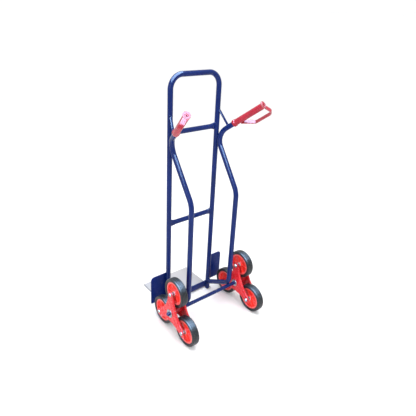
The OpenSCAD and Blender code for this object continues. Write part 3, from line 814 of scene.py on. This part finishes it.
def split_pins():
    """Two split pins: a wire carried down one leg, and back up the other round a round eye. The
    legs' tips are spread below the axle."""
    surface = Surface()
    lo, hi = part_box("split_pins")
    x = hi[0] - 0.002 - 0.0001
    top, low = hi[2] - AXLE[2], lo[2] - AXLE[2]
    wire, half = 0.0009, 0.00095
    for sign in (1, -1):
        up = [(half, low + 0.004), (half, top - 0.0052), (0.0027, top - 0.0038), (0.0027, top - wire)]
        corners = [(0, *c) for c in up] + [(0, -y, z) for y, z in up[::-1]]
        path, ahead = route(corners, [0, 0.0012, 0.001, 0.0024, 0.0024, 0.001, 0.0012, 0], 6)
        tips = np.array([[0, 0.0030, low + 0.0012], [0, 0.0016, low + 0.0026]])
        path = np.concatenate([tips, path, tips[::-1] * (1, -1, 1)])
        slant = unit(tips[1] - tips[0])
        ahead = np.concatenate([[slant, slant], ahead, [-slant * (1, -1, 1)] * 2])
        rows = swept(path, ahead, (1, 0, 0), circle(wire, 12)) + AXLE
        surface.add((rows + (x, 0, 0)) * (sign, 1, 1), around=True, capped=True)
    return surface


def weld_beads(size):
    """Every weld on the frame, as beads along the curves where the pieces meet. Where two tubes
    touch side by side, two short runs lie in the grooves beside the touch."""
    surface = Surface()
    up, groove = np.array([0, 0, 1.0]), 0.0062
    section = np.zeros((48, 3))
    section[:, 1:] = crossbar_section([1.0], 48)[0]
    link_path, link_ahead = route(REAR_ROUTE, REAR_RADII, 20)
    link_start = link_path[:1] + link_ahead[:1] * 0.1
    link_ring = swept(link_start, link_ahead[:1], (1, 0, 0), circle(TUBE_R, 48))[0]
    along = unit(STRAP_FOOT - STRAP_TOP)
    across = unit(np.array([1.0, 0, 0]) - along * along[0])
    strap_ring = swept([STRAP_TOP], [along], across, rounded_rectangle(0.014, 0.004, 0.0012))[0]
    bar = np.zeros((16, 3))
    bar[:, [2, 1]] = rounded_rectangle(0.040, 0.005, 0.001)
    a, r = wave(240, 300, 10), TUBE_R + 0.0008
    foot = np.stack([np.cos(a) * r, np.sin(a) * r, a * 0 + 0.0084], -1)
    # The foot bend touches the axle on the line from the bend's middle to the axle's.
    bend_centre = np.array([REAR_X, REAR_Y - FOOT_BEND_R, AXLE[2] + FOOT_RISE])
    contact = unit(AXLE + (REAR_X, 0, 0) - bend_centre)
    touch = bend_centre + contact * (FOOT_BEND_R + TUBE_R)
    square = np.cross(contact, (1, 0, 0))
    # The handle bend touches the upright where its path comes nearest, seen from above.
    beside = np.array([POST_X, UPRIGHT_Y, 0]) - link_path
    gaps = np.linalg.norm(beside[:, :2], axis=1) + (link_path[:, 2] < 0.8)
    nearest = gaps.argmin()
    toward = unit(beside[nearest] * (1, 1, 0))
    guard_lo, guard_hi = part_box("wheel_guard_left")
    runs = []  # middle, half length, direction facing out, size
    for lift in (-groove, groove):
        at = touch + square * lift + contact * 0.0016
        runs.append((at, (0.010, 0, 0), contact, size))
    for lift in (-groove, groove):
        at = link_path[nearest] + TUBE_R * toward + lift * np.array([toward[1], -toward[0], 0])
        runs.append((at, (0, 0, 0.011), (1, 0, 0), size))
    for share in (0.12, 0.5, 0.88):
        z = guard_lo[2] + share * (guard_hi[2] - guard_lo[2])
        runs.append(((POST_X + 0.0064, UPRIGHT_Y - 0.0131, z), (0, 0, 0.014), (1, 0, 0), size))
    at = (TOE_HALF_W - TOE_BAR_T - 0.0002, UPRIGHT_Y, 0.0057)
    runs.append((at, (0, 0.009, 0), up, size * 0.9))
    for sign in SIDES.values():
        post = np.array([sign * POST_X, UPRIGHT_Y, 0])
        mirror = np.array([sign, 1, 1])
        for z in (UPPER_BAR_Z, MIDDLE_BAR_Z):
            curve = onto_tube(section + (0, UPRIGHT_Y, z), (sign, 0, 0), post, up, TUBE_R)
            surface.add(bead(curve, (1, 0, 0), size))
        curve = onto_tube(bar + (0, UPRIGHT_Y, LOWER_BAR_Z), (sign, 0, 0), post, up, TUBE_R)
        surface.add(bead(curve, (1, 0, 0), size * 0.9))
        curve = onto_tube(link_ring, -link_ahead[0], np.array(REAR_ROUTE[0]), up, TUBE_R)
        surface.add(bead(curve * mirror, (0, 1, 0), size))
        for end, direction, axis in ((STRAP_TOP, -along, up), (STRAP_FOOT, along, HANDLE_DIR)):
            curve = onto_tube(strap_ring + along * 0.05, direction, end, axis, TUBE_R)
            surface.add(bead(curve * mirror, (0, 1, 0), size * 0.75))
        surface.add(bead(post + foot, up, size, closed=False))
        for at, half, out, r in runs:
            run = np.array([[-1], [0], [1]]) * half + at
            surface.add(bead(run * mirror, out, r, closed=False))
    return surface


# ---------- grips ----------

def grip(side, flute):
    """A grip with its guard. The sleeve is a profile turned about the handle, whose radius dips by
    the flute's depth times (1 - cos 20 a) / 2 between the collar and the end flange. Rings of the
    flange are set 3 mm above the handle. The guard is a rounded strip carried out from the sleeve,
    along the hand and back to the flange."""
    level_out = unit(np.cross(HANDLE_DIR, (0, 0, 1)))
    down = np.cross(HANDLE_DIR, level_out)
    down = down * -np.sign(down[2])
    turn = math.radians(37)
    reach = down * math.cos(turn) + level_out * math.sin(turn)
    square = np.cross(HANDLE_DIR, reach)
    mm = 0.001
    sleeve = np.array([  # distance along, radius, rounding
        (0, 14.0, 0), (0, 19.5, 1.8), (13.5, 19.5, 2.2), (16, 16.9, 1.2), (18, 16.9, 0.8), (19, 16.5, 0.8),
        (21, 16.5, 0), (22, 16.5, 0), (23, 16.5, 0), (24, 16.5, 0), (25, 16.5, 0), (175, 16.5, 0),
        (176, 16.5, 0), (177, 16.5, 0), (178, 16.5, 0), (182, 16.5, 4), (186.5, 17.6, 1.2), (188.6, 19, 1),
        (195, 19, 2), (195, 9.5, 0.6), (193.2, 8.6, 0.5), (193.2, 4, 0.4), (185, 4, 0), (185, 0, 0),
    ]) * mm
    profile = route(sleeve[:, :2], sleeve[:, 2], 5)[0]
    profile = np.concatenate([[(0, 0)], profile])
    a = wave(0, 360, 160)[:-1]
    ring = np.cos(a)[:, None] * reach + np.sin(a)[:, None] * square
    along, out = profile[:, :1], profile[:, 1:]
    lift = 0.003 * smooth((along - 0.183) / 0.0055) * smooth((out - 0.0096) / 0.007)
    zone = smooth((along - 0.022) / 0.003) * smooth((0.178 - along) / 0.003) * (out > 0.0164)
    out = out - zone * flute * (1 - np.cos(20 * a)) / 2
    rows = GRIP_START + along[..., None] * HANDLE_DIR - lift[..., None] * down + out[..., None] * ring
    worn = (np.abs(profile[:, 1:] - 0.0186) < 0.0010) * (profile[:, :1] > 0.1)
    surface = Surface().add(rows * (side, 1, 1), around=True, wear=worn)
    guard = np.array([(14, 38), (62, 98), (62, 202), (15, 191)]) * mm
    path, ahead = route(guard, np.array([0, 22, 16, 0]) * mm, 14)
    share = np.linspace(0, 1, len(path))
    broad = 1 + 0.10 * smooth(1 - share / 0.12)
    strip = rounded_rectangle(0.006, 0.024, 0.0018, 4)
    section = np.broadcast_to(strip, (len(path), *strip.shape)).copy()
    section[..., 1] *= broad[:, None]
    path = GRIP_START + path[:, :1] * reach + path[:, 1:] * HANDLE_DIR
    ahead = ahead[:, :1] * reach + ahead[:, 1:] * HANDLE_DIR
    rows = swept(path, ahead, np.cross(square, ahead[0]), section)
    edges = np.abs(np.abs(strip[:, 1]) - 0.012) < 0.0016
    return surface.add(rows * (side, 1, 1), around=True, capped=True, wear=edges[None] * 1.0)


# ---------- stars ----------

HOLLOW_R = 0.054
ARM_END_R = 0.020
HOLLOW_ARC_R = STAR_R**2 - STAR_R * HOLLOW_R + HOLLOW_R**2 - ARM_END_R**2
HOLLOW_ARC_R /= STAR_R - 2 * HOLLOW_R + 2 * ARM_END_R
HOLLOW_ARC_C = HOLLOW_R + HOLLOW_ARC_R
TANGENT = math.degrees(math.atan2(HOLLOW_ARC_C * math.sin(math.pi / 3), HOLLOW_ARC_C / 2 - STAR_R))
HUB_BORE = 0.013


def star_outline():
    """The star's outline, its outward normals and how deep its edge is turned in, from 0 to 1.
    Each arm ends in an arc of 20 mm radius, which runs on smoothly into the hollow's wide arc."""
    points, normals, depths = [], [], []
    for arm in (-30, 90, 210):
        a = wave(arm - TANGENT, arm + TANGENT, 30)[:, None]
        out = np.concatenate([np.cos(a), np.sin(a)], 1)
        end = STAR_R * np.array([math.cos(math.radians(arm)), math.sin(math.radians(arm))])
        points.append(end + ARM_END_R * out)
        normals.append(out)
        depths.append(np.zeros(len(a)))
        a = wave(arm + TANGENT + 180, arm - TANGENT + 300, 60)[:, None]
        out = np.concatenate([np.cos(a), np.sin(a)], 1)
        mid = math.radians(arm + 60)
        points.append(HOLLOW_ARC_C * np.array([math.cos(mid), math.sin(mid)]) + HOLLOW_ARC_R * out)
        normals.append(-out)
        share = np.linspace(0, 1, len(a))
        depths.append(smooth(np.minimum(share, 1 - share) / 0.07))
    return np.concatenate(points), np.concatenate(normals), np.concatenate(depths)


def star_plate(side, face_x, inward, bend):
    """A pressed star plate. From the hub's hole its face runs straight out to the outline. Along
    the hollows it bends through 90 degrees and on into a lip 12 mm deep; round the arms' ends the
    same rows close a plain edge. One side of the sheet follows the other at its thickness."""
    outline, normals, depth = star_outline()
    t, lip, nose = PLATE_T, 0.012, 0.0012
    inner = bend - t
    a, b, c = wave(0, 90, 5), wave(0, 90, 3), wave(90, 0, 4)
    turned_in = np.concatenate([
        np.stack([bend * (np.sin(a) - 1), bend * (1 - np.cos(a))], -1),
        np.stack([nose * (np.cos(b) - 1), lip + nose * (np.sin(b) - 1)], -1),
        np.stack([nose * (1 - np.sin(b)) - t, lip + nose * (np.cos(b) - 1)], -1),
        np.stack([-t - inner * (1 - np.sin(c)), t + inner * (1 - np.sin(c[::-1]))], -1),
    ])
    plain = np.concatenate([
        np.stack([nose * (np.sin(a) - 1), nose * (1 - np.cos(a))], -1),
        np.stack([nose * (np.cos(b) - 1), t + nose * (np.sin(b) - 1)], -1),
        np.stack([-np.linspace(nose, bend, 9), np.full(9, t)], -1),
    ])
    share = depth[:, None, None]
    edge = share * turned_in + (1 - share) * plain
    rim = outline[:, None] + edge[..., :1] * normals[:, None]
    angle = np.arctan2(outline[:, 1], outline[:, 0])[:, None]
    hole = HUB_BORE * np.concatenate([np.cos(angle), np.sin(angle)], 1)
    shares = np.array([0, 0.12, 0.35, 0.7])[:, None]
    front = hole[:, None] + (rim[:, :1] - hole[:, None]) * shares
    back = hole[:, None] + (rim[:, -1:] - hole[:, None]) * shares[::-1]
    flat = np.concatenate([front, rim, back, front[:, :1]], 1)
    n = len(outline)
    deep = np.concatenate([np.zeros((n, 4)), edge[..., 1], np.full((n, 4), t), np.zeros((n, 1))], 1)
    x = side * (face_x + inward * deep)
    rows = np.stack([x, AXLE[1] + flat[..., 0], AXLE[2] + flat[..., 1]], -1)
    worn = np.zeros(rows.shape[:2])
    worn[:, 4:13] = 1
    rows, worn = np.swapaxes(rows, 0, 1), worn.T
    return Surface().add(rows, around=True, wear=worn)


def star_hub(side, size):
    """The tube between a star's plates, with a weld bead round each end."""
    x0, x1 = PLATE_IN_X + PLATE_T, PLATE_OUT_X - PLATE_T
    profile = [(x0, HUB_BORE), (x0, 0.019), (x1, 0.019), (x1, HUB_BORE), (x0, HUB_BORE)]
    surface = Surface().add(turned(profile, AXLE, (1, 0, 0), 64) * (side, 1, 1))
    a = wave(0, 360, 120)[:-1]
    for x in (x0 + 0.0008, x1 - 0.0008):
        curve = AXLE + np.stack([a * 0 + x, 0.0196 * np.cos(a), 0.0196 * np.sin(a)], -1)
        surface.add(bead(curve * (side, 1, 1), (1, 0, 0), size))
    return surface


def arm_centre(side, arm):
    """Where an arm's bolt crosses the plane x = 0."""
    return middle(f"tyre_{side}_{arm}") * (0, 1, 1)


def wheel_bolts(side):
    """Three bolts: a low domed head with a thin rim, and a shank through both plates to its nut."""
    sign, surface = SIDES[side], Surface()
    out, end = PLATE_OUT_X, PLATE_IN_X - 0.007
    a = wave(0, 90, 12)
    head = np.stack([out + 0.0012 + 0.0058 * np.cos(a), 0.0100 * np.sin(a)], -1)
    rim = [(out + 0.0010, 0.0104), (out + 0.0003, 0.0105), (out, 0.0103), (out, 0.006)]
    profile = np.concatenate([head, rim, [(end, 0.006), (end, 0)]])
    for arm in ARMS:
        surface.add(turned(profile, arm_centre(side, arm), (1, 0, 0), 48) * (sign, 1, 1))
    return surface


def wheel_nuts(side):
    """Three cap nuts. Across the flats the radius is 9.5 mm over the cosine of the angle from the
    nearest flat, held in by the chamfers at both ends. A dome closes the nut."""
    sign, surface = SIDES[side], Surface()
    base, flat, cap = PLATE_IN_X, 0.0095, 0.0080
    a = wave(0, 360, 96)[:-1]
    hexagon = flat / np.cos((a + math.pi / 6) % (math.pi / 3) - math.pi / 6)
    hexagon = np.minimum(hexagon, flat * 1.13)
    stations = [(0, 1.04), (0.0007, 1.13), (0.0056, 1.13), (0.0064, 1.06), (0.0070, 0.97)]
    rows = [(base - d, np.minimum(hexagon, flat * held)) for d, held in stations]
    dome = wave(0, 90, 8)
    rows += [(base - 0.0071 - 0.0048 * math.sin(b), a * 0 + cap * math.cos(b)) for b in dome]
    rows = [(base, a * 0 + 0.006)] + rows
    for arm in ARMS:
        centre = arm_centre(side, arm)
        grid = np.stack([
            np.stack([a * 0 + x, centre[1] + r * np.cos(a), centre[2] + r * np.sin(a)], -1) for x, r in rows
        ])
        surface.add(grid * (sign, 1, 1), around=True)
    return surface


def wheel_spacers(side):
    """Six rings that hold the wheels in the middle between the plates."""
    surface = Surface()
    bush = 0.0163
    spans = [(PLATE_IN_X + PLATE_T, WHEEL_X - bush), (WHEEL_X + bush, PLATE_OUT_X - PLATE_T)]
    for arm in ARMS:
        for x0, x1 in spans:
            ring = ring_profile(x0, x1, 0.006, 0.009, 0.0006)
            surface.add(turned(ring, arm_centre(side, arm), (1, 0, 0), 40, closed=True) * (SIDES[side], 1, 1))
    return surface


# ---------- wheels ----------

def tyre(centre, groove):
    """A solid tyre: a profile turned about its bolt. From the rim's seat it rises past a lip and a
    fine ring on the wall, round the shoulder, over a crown with three grooves, and down again."""
    mm = 0.001
    wall = route(np.array([
        (16.9, 62.55), (16.9, 64.3), (19.6, 64.9), (20.4, 66.6), (20.4, 69.2), (19.7, 69.8), (19.7, 70.6),
        (20.5, 71.2), (20.9, 74.0), (19.4, 77.9), (15.0, 79.5), (13.4, 79.75),
    ]) * mm, np.array([0, 0.5, 1.0, 0.7, 0.3, 0.3, 0.3, 0.3, 2.5, 3.5, 3.0, 0]) * mm, 4)[0]
    crown = []
    for x in (9.0, 0.0, -9.0):
        rise = 79.75 + 0.22 * (1 - (x / 12) ** 2)
        crown += [((x + 1.25) * mm, rise * mm), ((x + 0.95) * mm, (rise - 0.2) * mm),
                  ((x + 0.6) * mm, rise * mm - groove), ((x - 0.6) * mm, rise * mm - groove),
                  ((x - 0.95) * mm, (rise - 0.2) * mm), ((x - 1.25) * mm, rise * mm)]
        if x > -9:
            crown.append(((x - 4.5) * mm, (79.75 + 0.22 * (1 - ((x - 4.5) / 12) ** 2)) * mm))
    profile = np.concatenate([wall, crown, wall[::-1] * (-1, 1)])
    tread = (profile[:, 1] > 0.0792).astype(float)
    tread = np.concatenate([tread, tread[:1]])
    return Surface().add(turned(profile, centre, (1, 0, 0), 144, closed=True), wear=tread[:, None])


def rim(centre):
    """A moulded rim with six ribs. Each face is a height over radius and angle: a rib's profile
    where the distance from its middle line is under 2.2 mm, a pocket's beyond 4 mm, and a smooth
    fillet between them. The grid's columns follow the ribs' edges."""
    mm = 0.001
    table = np.array([  # radius, height in a pocket, height on a rib
        (11, 15.0, 15.0), (11.4, 15.0, 15.0), (15.9, 15.0, 15.0), (16.6, 14.7, 14.7), (17.0, 13.9, 13.9),
        (17.5, 9.0, 12.6), (18.0, 7.2, 12.2), (18.9, 6.2, 12.0), (20.5, 5.8, 11.9), (27, 5.6, 11.8),
        (34, 5.6, 11.8), (42, 5.6, 12.0), (50.2, 5.7, 12.4), (51.8, 6.1, 12.9), (52.6, 7.4, 13.6),
        (53.1, 10.0, 14.6), (53.8, 15.4, 15.6), (54.3, 16.5, 16.5), (55.1, 16.95, 16.95),
        (60.9, 16.95, 16.95), (61.8, 16.6, 16.6), (62.3, 15.8, 15.8), (62.45, 14.8, 14.8),
    ]) * mm
    r, pocket, rib = table[:, :1], table[:, 1:2], table[:, 2:]
    half, fillet = 2.2 * mm / r, 1.8 * mm / r
    stations = np.array([  # shares of the half rib, the fillet and the rest of the pocket
        (0, 0, 0), (0.7, 0, 0), (1, 0, 0), (1, 0.25, 0), (1, 0.5, 0), (1, 0.75, 0), (1, 1, 0),
        (1, 1, 0.2), (1, 1, 0.45), (1, 1, 0.72), (1, 1, 1),
    ])
    spare = math.pi / 6 - half - fillet
    t = half * stations[:, 0] + fillet * stations[:, 1] + spare * stations[:, 2]
    shape = 1 - smooth(stations[:, 1])
    t = np.concatenate([-t[:, :0:-1], t[:, :-1]], 1)
    shape = np.concatenate([shape[:0:-1], shape[:-1]])
    angle = np.concatenate([t + i * math.pi / 3 for i in range(6)], 1)
    height = pocket + (rib - pocket) * np.tile(shape, 6)
    y, z = centre[1] + r * np.cos(angle), centre[2] + r * np.sin(angle)
    front = np.stack([centre[0] + height, y, z], -1)
    back = np.stack([centre[0] - height, y, z], -1)
    rows = np.concatenate([front, back[::-1], front[:1]])
    worn = np.concatenate([(r > 0.0535) * (r < 0.0622) * 1.0, (r > 0.0535)[::-1] * 1.0, [[0.0]]])
    return Surface().add(rows, around=True, wear=worn)


# ---------- operators ----------

class PieceOperator:
    """What the piece operators share."""

    bl_options = {"REGISTER", "UNDO"}

    def execute(self, context):
        self.make(context.scene.truck_sizes)
        return {"FINISHED"}


class TRUCK_OT_frame_tubes(PieceOperator, bpy.types.Operator):
    """Build the main loop, the crossbars and the rear tubes"""

    bl_idname = "truck.frame_tubes"
    bl_label = "Frame tubes"

    def make(self, sizes):
        loop_tube(sizes.segments).build("loop_tube", "frame_blue", "frame", "main_loop_tube")
        for name, z in (("upper", UPPER_BAR_Z), ("middle", MIDDLE_BAR_Z)):
            bar = crossbar(z, sizes.segments)
            bar.build(f"{name}_cross_tube", "frame_blue", "frame", f"{name}_crossbar")
        for side, sign in SIDES.items():
            tube = rear_tube(sign, sizes.segments)
            tube.build(f"rear_bent_tube_{side}", "frame_blue", "frame", f"rear_tube_{side}")


class TRUCK_OT_flat_steel(PieceOperator, bpy.types.Operator):
    """Build the straps, the lower bar, the wheel guards and the toe plate"""

    bl_idname = "truck.flat_steel"
    bl_label = "Flat steel"

    def make(self, sizes):
        edge = sizes.sheet_edge
        lower_bar(edge).build("lower_flat_bar", "guard_blue", "frame", "lower_crossbar")
        toe_sheet(edge).build("toe_sheet", "toe_plate", "frame", "toe_plate")
        for side, sign in SIDES.items():
            strap(sign, edge).build(f"strap_{side}", "frame_blue", "frame", f"brace_strap_{side}")
            guard = wheel_guard(sign, edge)
            guard.build(f"guard_plate_{side}", "guard_blue", "frame", f"wheel_guard_{side}")
            bar = toe_bar(sign, edge)
            bar.build(f"toe_edge_bar_{side}", "frame_blue", "frame", f"toe_side_bar_{side}")


class TRUCK_OT_small_parts(PieceOperator, bpy.types.Operator):
    """Build the foot plugs, the axle with its washers, collars and pins, and the welds"""

    bl_idname = "truck.small_parts"
    bl_label = "Small parts"

    def make(self, sizes):
        for side, sign in SIDES.items():
            foot_plug(sign).build(f"plug_{side}", "black_plastic", "frame", f"foot_plug_{side}")
        axle_bar(sizes.segments).build("axle", "frame_blue", "frame", "axle_bar")
        out, within = PLATE_OUT_X + STAR_GAP, PLATE_IN_X - STAR_GAP
        washers = axle_rings([(out, out + 0.003), (-out - 0.003, -out)], 0.023, 0.0007)
        washers.build("hub_washers", "zinc", "frame", "axle_washers")
        collars = axle_rings([(within - 0.006, within), (-within, 0.006 - within)], 0.020, 0.0009)
        collars.build("axle_stop_collars", "zinc", "frame", "axle_collars")
        split_pins().build("cotter_pins", "zinc", "frame", "split_pins")
        weld_beads(sizes.bead).build("weld_beads", "frame_blue", "frame", crease=70)


class TRUCK_OT_grips(PieceOperator, bpy.types.Operator):
    """Build the grips with their hand guards"""

    bl_idname = "truck.grips"
    bl_label = "Grips"

    def make(self, sizes):
        for side, sign in SIDES.items():
            made = grip(sign, sizes.grip_flute)
            made.build(f"hand_grip_{side}", "grip_red", "frame", f"grip_{side}")


class TRUCK_OT_stars(PieceOperator, bpy.types.Operator):
    """Build the star plates, their hub tubes and the wheels' bolts"""

    bl_idname = "truck.stars"
    bl_label = "Stars"

    def make(self, sizes):
        for side, sign in SIDES.items():
            outer = star_plate(sign, PLATE_OUT_X, -1, sizes.star_bend)
            inner = star_plate(sign, PLATE_IN_X, 1, sizes.star_bend)
            pieces = (
                ("pressed_plate_outer", "star_outer_plate", "star_red", outer),
                ("pressed_plate_inner", "star_inner_plate", "star_red", inner),
                ("hub_tube", "star_hub_tube", "star_red", star_hub(sign, sizes.bead * 0.9)),
                ("bolts", "wheel_bolts", "zinc", wheel_bolts(side)),
                ("cap_nuts", "wheel_nuts", "zinc", wheel_nuts(side)),
                ("spacers", "wheel_spacers", "zinc", wheel_spacers(side)),
            )
            for name, node, slot, surface in pieces:
                surface.build(f"{name}_{side}", slot, f"star_{side}", f"{node}_{side}")


class TRUCK_OT_wheels(PieceOperator, bpy.types.Operator):
    """Build the six tyres and rims"""

    bl_idname = "truck.wheels"
    bl_label = "Wheels"

    def make(self, sizes):
        for side in SIDES:
            for arm in ARMS:
                place, body = f"{side}_{arm}", f"wheel_{side}_{arm}"
                centre = middle(f"tyre_{place}")
                band = tyre(centre, sizes.tread_groove)
                band.build(f"solid_tyre_{place}", "tyre", body, f"tyre_{place}")
                rim(centre).build(f"moulded_rim_{place}", "rim_red", body, f"rim_{place}")


class TRUCK_OT_bushes(PieceOperator, bpy.types.Operator):
    """Give the turned bushes of the frame their nylon"""

    bl_idname = "truck.bushes"
    bl_label = "Bushes"

    def make(self, sizes):
        kept = [n for name, n in NODES.items() if "bush" in name]
        if len(kept) != 8:
            raise RuntimeError("the frame should have eight bush nodes")
        for node in kept:
            node.data.materials.clear()
            node.data.materials.append(finish_of("nylon"))


def soft_box(name, at, towards, size, power, colour, sheen=False):
    """A square studio light that faces a point. With sheen it is seen in reflections alone."""
    light = bpy.data.lights.new(name, "AREA")
    light.shape, light.size, light.energy, light.color = "SQUARE", size, power, colour
    made = bpy.data.objects.new(name, light)
    made.visible_diffuse = not sheen
    back = unit(np.subtract(at, towards))
    right = unit(np.cross((0, 0, 1) if abs(back[2]) < 0.98 else (0, 1, 0), back))
    made.matrix_world = Matrix([
        (*row, offset) for row, offset in zip(np.stack([right, np.cross(back, right), back], -1), at)
    ] + [(0, 0, 0, 1)])
    bpy.context.scene.collection.objects.link(made)


class TRUCK_OT_studio(bpy.types.Operator):
    """Build the pale floor, the soft light and the camera"""

    bl_idname = "truck.studio"
    bl_label = "Studio"
    bl_options = {"REGISTER", "UNDO"}

    def execute(self, context):
        studio = context.scene.truck_studio
        # The floor is a wide dish: level out to 8 m, then rising along an arc of 5 m radius.
        rise = wave(0, 55, 16)
        dish = np.concatenate([
            [(0, 0), (0, 2), (0, 4), (0, 6)], np.stack([5 * (1 - np.cos(rise)), 8 + 5 * np.sin(rise)], -1)])
        floor = Surface().add(turned(dish, (0, 0, -0.0004), (0, 0, 1), 96))
        floor.build("studio_floor", "floor", None)
        world = bpy.data.worlds.new("studio_sky")
        world.use_nodes = True
        sky = world.node_tree.nodes["Background"]
        sky.inputs["Color"].default_value = (1.0, 1.0, 1.0, 1)
        sky.inputs["Strength"].default_value = studio.sky
        context.scene.world = world
        soft_box("overhead", (0.3, 0.6, 3.6), (0, 0, 0.6), 2.6, studio.key, (1.0, 0.99, 0.97))
        soft_box("side", (3.4, 1.6, 1.9), (0, 0, 0.6), 2.0, studio.fill, (0.95, 0.97, 1.0))
        soft_box("sheen", (0.6, 0.8, 3.9), (0.3, 0.4, 0.6), 5.0, studio.sheen, (0.42, 0.66, 1.0), sheen=True)
        context.scene.view_settings.view_transform = "Standard"

        data = bpy.data.cameras.new("camera")
        data.sensor_width, data.lens = 36, studio.lens
        data.shift_x, data.shift_y = 0.0878, -0.0514
        data.dof.use_dof = False
        camera = bpy.data.objects.new("camera", data)
        a, e, r = studio.azimuth, studio.elevation, studio.roll
        back = np.array([math.sin(a) * math.cos(e), -math.cos(a) * math.cos(e), math.sin(e)])
        right = np.array([math.cos(a), math.sin(a), 0])
        up = np.cross(back, right)
        right, up = right * math.cos(r) + up * math.sin(r), up * math.cos(r) - right * math.sin(r)
        place = (1.21542, 1.44233, 1.54503)
        rows = np.stack([right, up, back], -1)
        camera.matrix_world = Matrix([(*row, at) for row, at in zip(rows, place)] + [(0, 0, 0, 1)])
        context.scene.collection.objects.link(camera)
        context.scene.camera = camera
        return {"FINISHED"}


OPERATORS = (
    TRUCK_OT_frame_tubes, TRUCK_OT_flat_steel, TRUCK_OT_small_parts, TRUCK_OT_grips,
    TRUCK_OT_stars, TRUCK_OT_wheels, TRUCK_OT_bushes, TRUCK_OT_studio,
)


class TRUCK_PT_pieces(bpy.types.Panel):
    """The truck's pieces and settings"""

    bl_idname = "TRUCK_PT_pieces"
    bl_label = "Hand truck"
    bl_space_type = "VIEW_3D"
    bl_region_type = "UI"
    bl_category = "Hand truck"

    def draw(self, context):
        for operator in OPERATORS:
            self.layout.operator(operator.bl_idname)
        for group in (context.scene.truck_sizes, context.scene.truck_colours, context.scene.truck_studio):
            box = self.layout.box()
            for key in group.__annotations__:
                box.prop(group, key)


GROUPS = {"truck_colours": TruckColours, "truck_sizes": TruckSizes, "truck_studio": TruckStudio}
CLASSES = (*GROUPS.values(), *OPERATORS, TRUCK_PT_pieces)


def register():
    for cls in CLASSES:
        bpy.utils.register_class(cls)
    for name, group in GROUPS.items():
        setattr(bpy.types.Scene, name, bpy.props.PointerProperty(type=group))


def unregister():
    for name in GROUPS:
        delattr(bpy.types.Scene, name)
    for cls in reversed(CLASSES):
        bpy.utils.unregister_class(cls)


def main():
    """Registers the classes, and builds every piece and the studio."""
    register()
    for operator in OPERATORS:
        family, name = operator.bl_idname.split(".")
        getattr(getattr(bpy.ops, family), name)()


if __name__ == "__main__":
    main()
